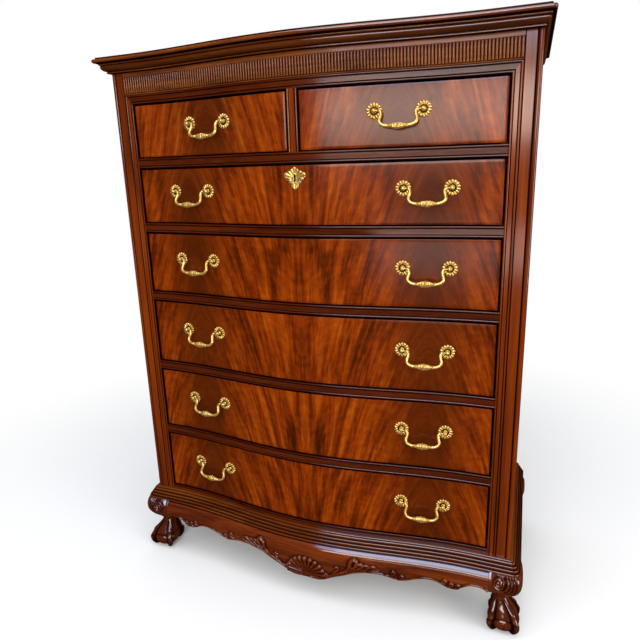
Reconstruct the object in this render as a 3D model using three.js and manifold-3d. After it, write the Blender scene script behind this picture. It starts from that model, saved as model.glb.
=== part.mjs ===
// A tall mahogany chest of drawers with a serpentine front, seven drawers, brass swan-neck pulls
// and carved ball-and-claw feet. Lengths are millimetres. The floor is z = 0, +X is to the
// viewer's right and the front faces -Y. The origin is on the floor under the middle of the chest.
import * as THREE from "three";
import { mergeVertices } from "three/addons/utils/BufferGeometryUtils.js";
import Module from "manifold-3d";

const wasm = await Module();
wasm.setup();

// Case
const caseWidth = 987;
const caseDepth = 447;
const caseBottomHeight = 163;
const bowRise = 36;
const bowHalfSpan = 424;
const bottomRailHeight = 42;
const railHeight = 24;
const topRailHeight = 22;
const deepestOpening = 171;
const openingShares = [0.977, 0.988, 1, 0.912, 0.795, 0.749];
const stileWidth = 53.5;
const innerFrameWidth = 20;
const frameThickness = 22;
const frameGroove = 2;
const cornerBeadWidth = 11;
const dividerWidth = 24;
const tenonLength = 10;
const sideThickness = 20;
const backThickness = 8;
const bottomThickness = 12;
const joinGap = 0.3;
const overrun = 5;

// Top, cornice and frieze
const friezeHeight = 50;
const reedHeight = 37;
const reedFoot = 3;
const reedPitch = 6.6;
const reedProud = 2;
const corniceHeight = 29;
const corniceFrontReach = 47;
const corniceSideReach = 18;
const corniceFrontSet = 12;
const corniceSideSet = 1;
const topLipHeight = 4;
const topLipSetback = 8;
const topThickness = 13;

// Base moulding and aprons
const baseHeight = 28;
const baseReach = 25;
const baseTopReach = 6;
const apronThickness = 24;
const apronTopReach = 20;
const apronBulge = 14;
const apronDrop = 106;
const sideApronDrop = 62;
const sideApronReach = 18;
const shellRadius = 57;
const shellDepth = 7;
const shellDrop = 92;
const shellLobes = 9;

// Feet
const footInset = 7.5;
const footSetback = 5;
const kneeHalfWidth = 37;
const kneeForward = 45;
const kneeBack = 38;
const rearFootSetback = 45;
const ankleHeight = 86;
const ankleRadius = 17;
const ballRadius = 36;
const ballFlat = 1;
const clawReach = 45;
const clawRadius = 12.5;

// Drawers
const drawerSideGap = 2.5;
const drawerTopGap = 3;
const drawerFloorGap = 0.3;
const drawerRecess = 3;
const frontThickness = 22;
const boxWall = 12;
const boxBottom = 7;
const boxBottomRise = 8;
const boxDrop = 14;
const boxBackGap = 22;
const runnerHeight = 18;
const runnerReach = 36;
const guideHeight = 14;
const centreRunnerWidth = 64;

// Pulls and escutcheon
const postSpacing = 100;
const pullInset = 154;
const postRiseShare = 0.075;
const rosetteRadius = 15.5;
const rosetteThickness = 2.6;
const rosetteBeads = 8;
const seatGap = 0.8;
const studRadius = 4.6;
const studReach = 15;
const boltRadius = 2.4;
const boltHoleGap = 0.5;
const nutRadius = 6;
const nutThickness = 4;
const eyeReach = 9.5;
const pinRadius = 1.7;
const pinHoleGap = 0.45;
const bailRadius = 2.5;
const gripRadius = 5.4;
const bailDrop = 31;
const bailLean = 12;
const escutcheonWidth = 54;
const escutcheonHeight = 46;
const escutcheonThickness = 3;
const escutcheonRise = 36;
const keyholeRadius = 3;
const keyholeDrop = 13;

// Fineness of the curves
const bowPitch = caseWidth / 16;
const barSides = 6;
const bailSteps = 20;
const clawSteps = 5;
const roundSides = 10;

// Heights and places worked out from the sizes
const openingHeights = openingShares.map((share) => share * deepestOpening);
const openingFloors = [];
let nextFloor = caseBottomHeight + bottomRailHeight;
for (const height of openingHeights) {
  openingFloors.push(nextFloor);
  nextFloor += height + railHeight;
}
const topRow = openingHeights.length - 1;
const topRailFloor = nextFloor - railHeight;
const friezeFloor = topRailFloor + topRailHeight;
const corniceFloor = friezeFloor + friezeHeight;
const lipFloor = corniceFloor + corniceHeight;
const overallHeight = lipFloor + topLipHeight;
const caseTop = overallHeight - topThickness;
const halfCase = caseWidth / 2;
const halfOpening = halfCase - stileWidth;
const halfFrieze = halfOpening + innerFrameWidth;
const overallDepth = caseDepth + bowRise + corniceFrontReach;
const backPlane = overallDepth / 2;
const stilePlane = backPlane - caseDepth;
const frameBack = stilePlane + frameThickness;
const insideBack = backPlane - backThickness;
const insideSide = halfCase - sideThickness;
const footX = halfCase - footInset;
const apronHalfWidth = footX - kneeHalfWidth - joinGap;

// Colours and finishes
const finish = (color, roughness, metalness) => () =>
  new THREE.MeshStandardMaterial({ color, roughness, metalness });
const mahogany = finish(0x4f2214, 0.28, 0);
const flameVeneer = finish(0x73350f, 0.24, 0);
const boxWood = finish(0xb98a58, 0.7, 0);
const brass = finish(0xc9a24a, 0.3, 1);

const chest = new THREE.Group();

// Solids and meshes

// A closed geometry as a solid that can be joined and cut.
function solid(geometry) {
  const bare = geometry.clone();
  bare.deleteAttribute("normal");
  bare.deleteAttribute("uv");
  const merged = mergeVertices(bare);
  return new wasm.Manifold(
    new wasm.Mesh({
      numProp: 3,
      vertProperties: merged.attributes.position.array,
      triVerts: new Uint32Array(merged.index.array),
    }),
  );
}

function geometryOf(body) {
  const mesh = body.getMesh();
  return new THREE.BufferGeometry()
    .setAttribute("position", new THREE.BufferAttribute(mesh.vertProperties, 3))
    .setIndex(new THREE.BufferAttribute(mesh.triVerts, 1));
}

const join = (...bodies) => bodies.reduce((whole, body) => whole.add(body));
const cut = (body, ...tools) => tools.reduce((rest, tool) => rest.subtract(tool), body);

function piece(name, body, material, parent = chest) {
  const mesh = new THREE.Mesh(geometryOf(body), material());
  mesh.name = name;
  parent.add(mesh);
  return mesh;
}

// A board given by its two faces along each axis.
function board([left, right], [front, back], [low, high]) {
  return solid(
    new THREE.BoxGeometry(right - left, back - front, high - low).translate(
      (left + right) / 2,
      (front + back) / 2,
      (low + high) / 2,
    ),
  );
}

const shapeOf = (points) => new THREE.Shape(points.map(([x, y]) => new THREE.Vector2(x, y)));

// A plan outline standing from one height to another.
function slab(outline, low, high) {
  return solid(
    new THREE.ExtrudeGeometry(shapeOf(outline), {
      depth: high - low,
      bevelEnabled: false,
    }).translate(0, 0, low),
  );
}

// An outline seen from the front, running from one depth to another.
function upright(outline, front, back) {
  return solid(
    new THREE.ExtrudeGeometry(shapeOf(outline), {
      depth: back - front,
      bevelEnabled: false,
    })
      .rotateX(Math.PI / 2)
      .translate(0, back, 0),
  );
}

// A solid skinned over a row of rings that have the same number of points.
function loft(rings) {
  const count = rings[0].length;
  const middles = [rings[0], rings[rings.length - 1]].map((ring) =>
    ring.reduce((sum, p) => sum.add(p), new THREE.Vector3()).divideScalar(count),
  );
  const points = [...rings.flat(), ...middles];
  const faces = [];
  for (let ring = 0; ring < rings.length - 1; ring++) {
    for (let k = 0; k < count; k++) {
      const a = ring * count + k;
      const b = ring * count + ((k + 1) % count);
      faces.push(a, b, b + count, a, b + count, a + count);
    }
  }
  const lastRing = (rings.length - 1) * count;
  for (let k = 0; k < count; k++) {
    const next = (k + 1) % count;
    faces.push(points.length - 2, next, k);
    faces.push(points.length - 1, lastRing + k, lastRing + next);
  }
  return closedSkin(points, faces);
}

// A moulding skinned over sections of any outline, with flat ends.
function moulding(sections, profile) {
  const count = profile.length;
  const points = sections.flat();
  const caps = THREE.ShapeUtils.triangulateShape(
    profile.map(([out, up]) => new THREE.Vector2(out, up)),
    [],
  );
  const faces = [];
  for (let ring = 0; ring < sections.length - 1; ring++) {
    for (let k = 0; k < count; k++) {
      const a = ring * count + k;
      const b = ring * count + ((k + 1) % count);
      faces.push(a, b, b + count, a, b + count, a + count);
    }
  }
  const lastRing = (sections.length - 1) * count;
  for (const [a, b, c] of caps) {
    faces.push(a, c, b);
    faces.push(lastRing + a, lastRing + b, lastRing + c);
  }
  return closedSkin(points, faces);
}

// Turns the faces outwards when the skin was built the other way round.
function closedSkin(points, faces) {
  let volume = 0;
  for (let i = 0; i < faces.length; i += 3) {
    const [a, b, c] = [points[faces[i]], points[faces[i + 1]], points[faces[i + 2]]];
    volume += a.dot(new THREE.Vector3().crossVectors(b, c));
  }
  if (volume < 0) faces.reverse();
  return solid(new THREE.BufferGeometry().setFromPoints(points).setIndex(faces));
}

// A round bar along a curve, its radius given along the curve from 0 to 1.
function bar(curve, radiusAt, steps, sides) {
  const frames = curve.computeFrenetFrames(steps, false);
  const rings = [];
  for (let i = 0; i <= steps; i++) {
    const middle = curve.getPointAt(i / steps);
    const ring = [];
    for (let k = 0; k < sides; k++) {
      const turn = (2 * Math.PI * k) / sides;
      const radius = radiusAt(i / steps);
      ring.push(
        middle
          .clone()
          .addScaledVector(frames.normals[i], radius * Math.cos(turn))
          .addScaledVector(frames.binormals[i], radius * Math.sin(turn)),
      );
    }
    rings.push(ring);
  }
  return loft(rings);
}

// The serpentine front

// How far the front stands forward at x: one raised cosine wave between the stiles.
function wave(x) {
  if (Math.abs(x) >= bowHalfSpan) return 0;
  return (bowRise * (1 + Math.cos((Math.PI * x) / bowHalfSpan))) / 2;
}

// The same front in straight facets, which every piece shares.
function bow(x) {
  const place = x / bowPitch;
  const left = Math.floor(place);
  const share = place - left;
  return wave(left * bowPitch) * (1 - share) + wave((left + 1) * bowPitch) * share;
}

function bowStations(left, right) {
  const stations = [left];
  for (let k = Math.ceil(left / bowPitch); k * bowPitch < right; k++) {
    if (k * bowPitch > left) stations.push(k * bowPitch);
  }
  return [...stations, right];
}

// A curved board: its front stands forward of the front plane by reach, and its back is straight
// at depth, or follows the curve when thickness is given.
function bowed([left, right], reach, { back, thickness }, low, high) {
  const front = bowStations(left, right).map((x) => [x, stilePlane - bow(x) - reach]);
  const rear =
    thickness === undefined
      ? [
          [right, back],
          [left, back],
        ]
      : front.map(([x, y]) => [x, y + thickness]).reverse();
  return slab([...front, ...rear], low, high);
}

// Face frame: stiles, rails, the divider between the small drawers and its runner behind it
function faceFrame() {
  const parts = [];
  for (const hand of [-1, 1]) {
    const across = (near, far) => [hand * near, hand * far].sort((a, b) => a - b);
    parts.push(
      board(across(halfOpening, halfCase), [stilePlane, frameBack], [caseBottomHeight, friezeFloor]),
      board(across(halfFrieze, halfCase), [stilePlane, frameBack], [caseBottomHeight, caseTop]),
    );
  }
  const reach = [-halfOpening - tenonLength, halfOpening + tenonLength];
  const rail = (low, high) => bowed(reach, 0, { back: frameBack }, low, high);
  parts.push(rail(caseBottomHeight, openingFloors[0]));
  for (let row = 1; row <= topRow; row++) {
    parts.push(rail(openingFloors[row] - railHeight, openingFloors[row]));
  }
  parts.push(rail(topRailFloor, friezeFloor));
  const topFloor = openingFloors[topRow];
  const halfDivider = dividerWidth / 2;
  parts.push(
    bowed([-halfDivider, halfDivider], 0, { back: frameBack }, topFloor - overrun, topRailFloor + overrun),
    board(
      [-halfDivider, halfDivider],
      [frameBack - overrun, insideBack],
      [topFloor - runnerHeight, topFloor + guideHeight],
    ),
    board(
      [-centreRunnerWidth / 2, centreRunnerWidth / 2],
      [frameBack - overrun, insideBack],
      [topFloor - runnerHeight, topFloor],
    ),
  );
  const groove = (middle) =>
    board(
      [middle - frameGroove / 2, middle + frameGroove / 2],
      [stilePlane - overrun, stilePlane + frameGroove],
      [caseBottomHeight + bottomRailHeight / 2, friezeFloor],
    );
  const grooves = [halfFrieze, halfCase - cornerBeadWidth].flatMap((x) => [groove(x), groove(-x)]);
  return cut(join(...parts), ...grooves);
}
piece("face_frame", faceFrame(), mahogany);

// Case sides with the runners and guides that carry the drawers
function caseSide(hand) {
  const across = (near, far) => [hand * near, hand * far].sort((a, b) => a - b);
  const parts = [
    board(across(insideSide, halfCase), [frameBack, backPlane], [caseBottomHeight, caseTop]),
  ];
  for (const floor of openingFloors) {
    parts.push(
      board(
        across(halfOpening - runnerReach, insideSide + overrun),
        [frameBack, insideBack],
        [floor - runnerHeight, floor],
      ),
      board(
        across(halfOpening, insideSide + overrun),
        [frameBack, insideBack],
        [floor - runnerHeight, floor + guideHeight],
      ),
    );
  }
  return join(...parts);
}
piece("left_side", caseSide(-1), mahogany);
piece("right_side", caseSide(1), mahogany);

piece(
  "back_panel",
  board([-insideSide, insideSide], [insideBack, backPlane], [caseBottomHeight, caseTop]),
  boxWood,
);
piece(
  "bottom_board",
  board(
    [-insideSide, insideSide],
    [frameBack, insideBack],
    [caseBottomHeight, caseBottomHeight + bottomThickness],
  ),
  boxWood,
);

// Frieze: a curved board whose face is cut into upright reeds
function frieze() {
  const base = bowed([-halfFrieze, halfFrieze], 0, { back: frameBack }, friezeFloor, caseTop);
  const reeds = Math.round((2 * halfFrieze) / reedPitch);
  const pitch = (2 * halfFrieze) / reeds;
  const zigzag = [];
  for (let k = 0; k < reeds; k++) {
    const left = -halfFrieze + k * pitch;
    zigzag.push([left, stilePlane - bow(left)]);
    zigzag.push([left + pitch / 2, stilePlane - bow(left + pitch / 2) - reedProud]);
  }
  zigzag.push([halfFrieze, stilePlane]);
  const inner = bowStations(-halfFrieze, halfFrieze)
    .map((x) => [x, stilePlane - bow(x) + reedProud])
    .reverse();
  const low = friezeFloor + reedFoot;
  return join(base, slab([...zigzag, ...inner], low, low + reedHeight));
}
piece("frieze_rail", frieze(), mahogany);

// Mouldings that run round the front and both sides, with mitred corners. A section lies at
// each station, and its points are pushed out forwards, sideways or, at a corner, both ways.
function around(profile, floor, frontOut, sideOut) {
  const stations = [
    { x: -halfCase, y: backPlane, side: -1, front: 0 },
    { x: -halfCase, y: stilePlane, side: -1, front: 1 },
    ...bowStations(-halfCase, halfCase)
      .slice(1, -1)
      .map((x) => ({ x, y: stilePlane - bow(x), side: 0, front: 1 })),
    { x: halfCase, y: stilePlane, side: 1, front: 1 },
    { x: halfCase, y: backPlane, side: 1, front: 0 },
  ];
  const sections = stations.map(({ x, y, side, front }) =>
    profile.map(
      ([share, up]) =>
        new THREE.Vector3(x + side * sideOut(share), y - front * frontOut(share), floor + up),
    ),
  );
  return moulding(sections, profile);
}

// Cornice profile, as shares of the reach and height: bead, hollow, step, nosing
const corniceShares = [
  [-1, 0],
  [0, 0],
  [0.06, 0.05],
  [0, 0.12],
  [0.06, 0.34],
  [0.22, 0.5],
  [0.48, 0.6],
  [0.58, 0.6],
  [0.6, 0.68],
  [0.9, 0.7],
  [1, 0.8],
  [0.97, 0.92],
  [0.84, 1],
  [-1, 1],
];
const outBy = (set, reach) => (share) => (share < 0 ? joinGap : set + share * (reach - set));
piece(
  "cornice_moulding",
  around(
    corniceShares.map(([share, up]) => [share, up * corniceHeight]),
    corniceFloor,
    outBy(corniceFrontSet, corniceFrontReach),
    outBy(corniceSideSet, corniceSideReach),
  ),
  mahogany,
);

// Top board: a body between the case and the cornice, under a thin lip that shows as a fillet
function topBoard() {
  const plan = (out, side) => [
    ...bowStations(-halfCase - side, halfCase + side).map((x) => [x, stilePlane - bow(x) - out]),
    [halfCase + side, backPlane],
    [-halfCase - side, backPlane],
  ];
  return join(
    slab(plan(0, 0), caseTop, lipFloor + topLipHeight / 2),
    slab(
      plan(corniceFrontReach - topLipSetback, corniceSideReach - topLipSetback),
      lipFloor,
      overallHeight,
    ),
  );
}
piece("top_board", topBoard(), mahogany);

// Base moulding: four beads that step outwards down to the feet
const baseSteps = 4;
const beadShare = 0.7;
const baseProfile = [[-1, 0]];
for (let step = 0; step < baseSteps; step++) {
  baseProfile.push([1 - step / baseSteps, (step / baseSteps) * baseHeight]);
  baseProfile.push([1 - step / baseSteps, ((step + beadShare) / baseSteps) * baseHeight]);
}
baseProfile.push([0, baseHeight], [-1, baseHeight]);
piece(
  "base_moulding",
  around(baseProfile, caseBottomHeight, outBy(baseTopReach, baseReach), outBy(baseTopReach, baseReach)),
  mahogany,
);

// Front apron: a cupid's-bow outline, given as shares of the half width and of the drop, cut
// from a board that bulges forward, with a carved shell at the middle
const apronShares = [
  [0, 1],
  [0.067, 0.991],
  [0.112, 0.943],
  [0.169, 0.821],
  [0.225, 0.717],
  [0.27, 0.623],
  [0.315, 0.557],
  [0.36, 0.519],
  [0.416, 0.509],
  [0.461, 0.528],
  [0.499, 0.575],
  [0.54, 0.604],
  [0.576, 0.575],
  [0.618, 0.509],
  [0.675, 0.443],
  [0.715, 0.443],
  [0.749, 0.491],
  [0.787, 0.575],
  [0.83, 0.594],
  [0.87, 0.5],
  [0.9, 0.415],
  [0.933, 0.387],
  [0.971, 0.396],
  [1, 0.47],
];
const bulgeShares = [
  [0, 0],
  [0.14, 0.75],
  [0.32, 1],
  [0.55, 0.8],
  [1, 0.35],
];
const rootShare = 0.3;
const shellHeight = caseBottomHeight - shellDrop;
function frontApron() {
  const right = apronShares.map(([along, down]) => [
    along * apronHalfWidth,
    caseBottomHeight - down * apronDrop,
  ]);
  const left = right
    .slice(1)
    .map(([x, z]) => [-x, z])
    .reverse();
  const outline = [
    ...left,
    ...right,
    [apronHalfWidth, caseBottomHeight],
    [-apronHalfWidth, caseBottomHeight],
  ];
  const blank = upright(outline, stilePlane - overallDepth, backPlane);
  const face = bulgeShares.map(([down, out]) => [
    -apronTopReach - out * apronBulge,
    caseBottomHeight - down * apronDrop * (down < 1 ? 1 : 1 + overrun / apronDrop),
  ]);
  const backReach = apronThickness - apronTopReach;
  const profile = [
    ...face,
    [backReach, caseBottomHeight - apronDrop - overrun],
    [backReach, caseBottomHeight],
  ];
  const sections = bowStations(-apronHalfWidth, apronHalfWidth).map((x) =>
    profile.map(([out, z]) => new THREE.Vector3(x, stilePlane - bow(x) + out, z)),
  );
  const curved = moulding(sections, profile);
  const shell = new THREE.Vector3(0, stilePlane - bowRise - apronTopReach - apronBulge, shellHeight);
  const lobes = [];
  for (let k = 0; k < shellLobes; k++) {
    const turn = (Math.PI * (k + 0.5)) / shellLobes;
    const tip = new THREE.Vector3(Math.cos(turn), 0, Math.sin(turn))
      .multiplyScalar(shellRadius - shellDepth)
      .add(shell)
      .add(new THREE.Vector3(0, shellDepth / 2, 0));
    const line = new THREE.LineCurve3(shell.clone().add(new THREE.Vector3(0, shellDepth, 0)), tip);
    lobes.push(bar(line, (share) => shellDepth * (rootShare + share * (1 - rootShare)), 2, barSides));
  }
  return join(blank.intersect(curved), ...lobes);
}
piece("front_apron", frontApron(), mahogany);

// Feet: a swelling knee under the base moulding, a waist at the ankle, and a ball gripped by four
// claws that point to the corners of the foot
const frontFootY = stilePlane + footSetback;
const rearFootY = backPlane - rearFootSetback;

// Knee sections from the top down to the ankle: height, half width and reach as shares
const kneeShares = [
  [1, 0.73, 0.8],
  [0.77, 1, 1],
  [0.57, 0.95, 0.92],
  [0.38, 0.68, 0.64],
  [0.18, 0.23, 0.22],
  [0, 0, 0],
];

// The web between the claws, from the ankle down over the ball: height and radius as shares
const webShares = [
  [0.84, 0.76],
  [0.66, 1.04],
  [0.42, 1.03],
];
function foot(forward, backward) {
  const kneeDrop = caseBottomHeight - ankleHeight;
  const rings = kneeShares.map(([up, wide, deep]) => {
    const halfX = ankleRadius + wide * (kneeHalfWidth - ankleRadius);
    const front = ankleRadius + deep * (forward - ankleRadius);
    const back = ankleRadius + deep * (backward - ankleRadius);
    return ringAt(ankleHeight + up * kneeDrop, halfX, front, back, deep);
  });
  for (const [up, out] of webShares) {
    const radius = out * ballRadius;
    rings.push(ringAt(up * ankleHeight, radius, radius, radius, 0));
  }
  const parts = [
    loft(rings),
    solid(new THREE.SphereGeometry(ballRadius, roundSides, barSides).rotateX(Math.PI / 2)).translate(
      [0, 0, ballRadius - ballFlat],
    ),
  ];
  for (let k = 0; k < 4; k++) {
    const turn = Math.PI / 4 + (k * Math.PI) / 2;
    parts.push(bar(clawCurve(turn), clawThickness, clawSteps, barSides - 1));
  }
  const room = [-caseDepth, caseDepth];
  return join(...parts).intersect(board(room, room, [0, caseBottomHeight]));
}

// A rounded rectangle, squarer where square is near 1.
function ringAt(height, halfX, front, back, square) {
  const ring = [];
  const power = 1 - square / 2;
  for (let k = 0; k < roundSides; k++) {
    const turn = (2 * Math.PI * (k + 0.5)) / roundSides;
    const [c, s] = [Math.cos(turn), Math.sin(turn)];
    const x = Math.sign(c) * Math.abs(c) ** power * halfX;
    const y = Math.sign(s) * Math.abs(s) ** power * (s < 0 ? front : back);
    ring.push(new THREE.Vector3(x, y, height));
  }
  return ring;
}

// A claw tapers from its root to its talon.
const talonShare = 0.56;
const clawThickness = (share) => clawRadius * (1 - (1 - talonShare) * share);

// A claw from the ankle over its knuckle to the talon on the floor.
function clawCurve(turn) {
  const clawShares = [
    [0.16, 1],
    [0.56, 0.87],
    [0.88, 0.64],
    [1, 0.36],
    [0.94, 0.05],
  ];
  return new THREE.CatmullRomCurve3(
    clawShares.map(
      ([out, up]) =>
        new THREE.Vector3(
          out * clawReach * Math.cos(turn),
          out * clawReach * Math.sin(turn),
          up * ankleHeight,
        ),
    ),
  );
}

const frontFoot = foot(kneeForward + footSetback, kneeBack);
const rearFoot = foot(kneeBack, kneeBack);
for (const [name, body, x, y] of [
  ["front_left_foot", frontFoot, -footX, frontFootY],
  ["front_right_foot", frontFoot, footX, frontFootY],
  ["rear_left_foot", rearFoot, -footX, rearFootY],
  ["rear_right_foot", rearFoot, footX, rearFootY],
]) {
  piece(name, body, mahogany).position.set(x, y, 0);
}

// Side aprons: plain ogee brackets between the feet
const sideApronShares = [
  [0, 1],
  [0.06, 0.98],
  [0.12, 0.7],
  [0.2, 0.52],
  [0.35, 0.5],
  [0.5, 0.62],
];
function sideApron(hand) {
  const start = frontFootY + kneeBack + joinGap;
  const end = rearFootY - kneeBack - joinGap;
  const half = sideApronShares.map(([along, down]) => [
    start + along * (end - start),
    caseBottomHeight - down * sideApronDrop,
  ]);
  const other = half
    .slice(0, -1)
    .map(([y, z]) => [start + end - y, z])
    .reverse();
  const outline = [...half, ...other, [end, caseBottomHeight], [start, caseBottomHeight]];
  const outer = halfCase + sideApronReach;
  const blank = new THREE.ExtrudeGeometry(shapeOf(outline), {
    depth: apronThickness,
    bevelEnabled: false,
  })
    .rotateX(Math.PI / 2)
    .rotateZ(Math.PI / 2)
    .translate(hand < 0 ? -outer : outer - apronThickness, 0, 0);
  return solid(blank);
}
piece("left_apron", sideApron(-1), mahogany);
piece("right_apron", sideApron(1), mahogany);

// Drawers, pulls and escutcheon

// The chord between a pull's two posts, which the rosettes and the bail line up with.
function pullSeat(centre) {
  const face = (x) => stilePlane + drawerRecess - bow(x);
  const [left, right] = [centre - postSpacing / 2, centre + postSpacing / 2];
  const lean = Math.atan2(face(right) - face(left), postSpacing);
  return { centre, y: (face(left) + face(right)) / 2, lean };
}

const alongY = (radius, from, to, sides) =>
  solid(
    new THREE.CylinderGeometry(radius, radius, to - from, sides).translate(0, (from + to) / 2, 0),
  );

// A drawer: curved front, two sides, back and bottom, glued up as one body.
function drawerBody(left, right, floor, height, pulls) {
  const [low, high] = [floor + drawerFloorGap, floor + height - drawerTopGap];
  const [from, to] = [left + drawerSideGap, right - drawerSideGap];
  const boxTop = high - boxDrop;
  const boxFront = stilePlane + drawerRecess + frontThickness / 2;
  const boxBack = insideBack - boxBackGap;
  const parts = [
    bowed([from, to], -drawerRecess, { thickness: frontThickness }, low, high),
    board([from, from + boxWall], [boxFront, boxBack], [low, boxTop]),
    board([to - boxWall, to], [boxFront, boxBack], [low, boxTop]),
    board([from, to], [boxBack - boxWall, boxBack], [low, boxTop]),
    bowed(
      [from + boxWall / 2, to - boxWall / 2],
      -drawerRecess - frontThickness / 2,
      { back: boxBack - boxWall / 2 },
      low + boxBottomRise,
      low + boxBottomRise + boxBottom,
    ),
  ];
  const holes = pulls.flatMap(({ seat, height: z }) =>
    [-1, 1].map((hand) =>
      alongY(boltRadius + boltHoleGap, -overrun, frontThickness + overrun, barSides)
        .translate([(hand * postSpacing) / 2, 0, 0])
        .rotate([0, 0, (seat.lean * 180) / Math.PI])
        .translate([seat.centre, seat.y, z]),
    ),
  );
  return cut(join(...parts), ...holes);
}

const valleyShare = 0.88;

// A post: beaded rosette, domed stud with the eye for the bail, and the bolt and nut that hold it.
function post(hand) {
  const outline = [];
  for (let k = 0; k < 2 * rosetteBeads; k++) {
    const turn = (Math.PI * k) / rosetteBeads;
    const radius = rosetteRadius * (k % 2 ? 1 : valleyShare);
    outline.push([radius * Math.cos(turn), radius * Math.sin(turn)]);
  }
  const plate = upright(outline, -seatGap - rosetteThickness, -seatGap);
  const profile = [
    [0, -studReach],
    [studRadius, -studReach + studRadius],
    [studRadius, -seatGap - rosetteThickness / 2],
    [0, -seatGap - rosetteThickness / 2],
  ].map(([r, y]) => new THREE.Vector2(r, y));
  const stud = solid(new THREE.LatheGeometry(profile, barSides));
  const nutFront = frontThickness + seatGap + nutRadius * Math.sin(steepestLean);
  const bolt = alongY(boltRadius, -rosetteThickness, nutFront + nutThickness / 2, barSides);
  const nut = alongY(nutRadius, nutFront, nutFront + nutThickness, barSides);
  const eye = solid(
    new THREE.CylinderGeometry(
      pinRadius + pinHoleGap,
      pinRadius + pinHoleGap,
      2 * rosetteRadius,
      barSides,
    ).rotateZ(Math.PI / 2),
  ).translate([-hand * rosetteRadius, -eyeReach, 0]);
  return cut(join(plate, stud, bolt, nut), eye);
}

// The largest angle of the front's slope, which the nuts clear.
const steepestLean = Math.atan((Math.PI * bowRise) / (2 * bowHalfSpan));

// The bail, around its own axis: pins in the two eyes, swan-neck arms and a swollen grip.
const pinShare = 0.86;
const gripShare = 0.34;
const bailShares = [
  [1, 0, 0],
  [0.86, 0, 0],
  [0.72, 0.06, 0.06],
  [0.66, 0.3, 0.3],
  [0.74, 0.58, 0.62],
  [0.68, 0.88, 0.92],
  [0.42, 1, 1],
];
function bail() {
  const reach = postSpacing / 2 - pinRadius;
  const right = bailShares.map(
    ([along, down, lean]) =>
      new THREE.Vector3(along * reach, -lean * bailLean, -down * bailDrop),
  );
  const left = right.map((p) => new THREE.Vector3(-p.x, p.y, p.z));
  const middle = new THREE.Vector3(0, -bailLean, -bailDrop);
  const curve = new THREE.CatmullRomCurve3([...left, middle, ...right.reverse()], false, "centripetal");
  const radiusAt = (share) => {
    const off = Math.abs(share - 0.5) * 2;
    if (off > pinShare) return pinRadius;
    return bailRadius + (gripRadius - bailRadius) * Math.max(0, 1 - (off / gripShare) ** 2);
  };
  return bar(curve, radiusAt, bailSteps, barSides);
}

const postBodies = { left: post(-1), right: post(1) };
const bailBody = bail();

function addPull(name, drawer, { seat, height }) {
  const place = new THREE.Group();
  place.position.set(seat.centre, seat.y, height);
  place.rotation.z = seat.lean;
  drawer.add(place);
  for (const [side, hand] of [
    ["left", -1],
    ["right", 1],
  ]) {
    const mesh = piece(`${name}_pull_${side}_post`, postBodies[side], brass, place);
    mesh.position.x = (hand * postSpacing) / 2;
  }
  piece(`${name}_pull_bail`, bailBody, brass, place).position.y = -eyeReach;
}

const pullsOf = (centres, floor, height) =>
  centres.map((centre) => ({
    seat: pullSeat(centre),
    height: floor + height * (0.5 + postRiseShare),
  }));

function addDrawer(name, [left, right], row, centres) {
  const [floor, height] = [openingFloors[row], openingHeights[row]];
  const pulls = pullsOf(centres, floor, height);
  const group = new THREE.Group();
  chest.add(group);
  piece(`${name}_drawer`, drawerBody(left, right, floor, height, pulls), flameVeneer, group);
  const sides = centres.length > 1 ? ["left", "right"] : ["single"];
  pulls.forEach((pull, k) => {
    addPull(sides[k] === "single" ? name : `${name}_${sides[k]}`, group, pull);
  });
  return group;
}

const halfDividerWidth = dividerWidth / 2;
const fullOpening = [-halfOpening, halfOpening];
const smallPullOffset = (halfDividerWidth + halfOpening) / 2;
const names = ["bottom", "fifth", "fourth", "third", "second"];
const drawers = names.map((name, row) =>
  addDrawer(name, fullOpening, row, [pullInset - halfOpening, halfOpening - pullInset]),
);
addDrawer("top_left", [-halfOpening, -halfDividerWidth], topRow, [-smallPullOffset]);
addDrawer("top_right", [halfDividerWidth, halfOpening], topRow, [smallPullOffset]);

// Escutcheon: a fan of lobes over a leaf point, pierced by the keyhole. The outline is given as
// shares of the half width and of the height above and below the keyhole.
const escutcheonShares = [
  [0, -1],
  [0.2, -0.8],
  [0.3, -0.5],
  [0.62, -0.35],
  [0.85, -0.1],
  [0.8, 0.1],
  [1, 0.3],
  [0.9, 0.62],
  [0.6, 0.66],
  [0.5, 0.9],
  [0.2, 0.84],
  [0, 1],
];
function escutcheon() {
  const right = escutcheonShares.map(([along, up]) => [
    (along * escutcheonWidth) / 2,
    (up * escutcheonHeight) / 2,
  ]);
  const left = right
    .slice(1, -1)
    .map(([x, z]) => [-x, z])
    .reverse();
  const plate = upright([...right, ...left], -escutcheonThickness - joinGap, -joinGap);
  const hole = alongY(keyholeRadius, -overrun, overrun, roundSides);
  const slot = board(
    [-keyholeRadius / 2, keyholeRadius / 2],
    [-overrun, overrun],
    [-keyholeDrop, 0],
  );
  return cut(plate, hole, slot);
}
const lockRow = names.length - 1;
const lockHeight = openingFloors[lockRow] + openingHeights[lockRow] / 2 + escutcheonRise;
piece("escutcheon", escutcheon(), brass, drawers[lockRow]).position.set(
  0,
  stilePlane + drawerRecess - bowRise,
  lockHeight,
);

export default chest;
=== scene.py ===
from math import pi, radians

import bmesh
import bpy
import numpy as np
from mathutils import Matrix


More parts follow.
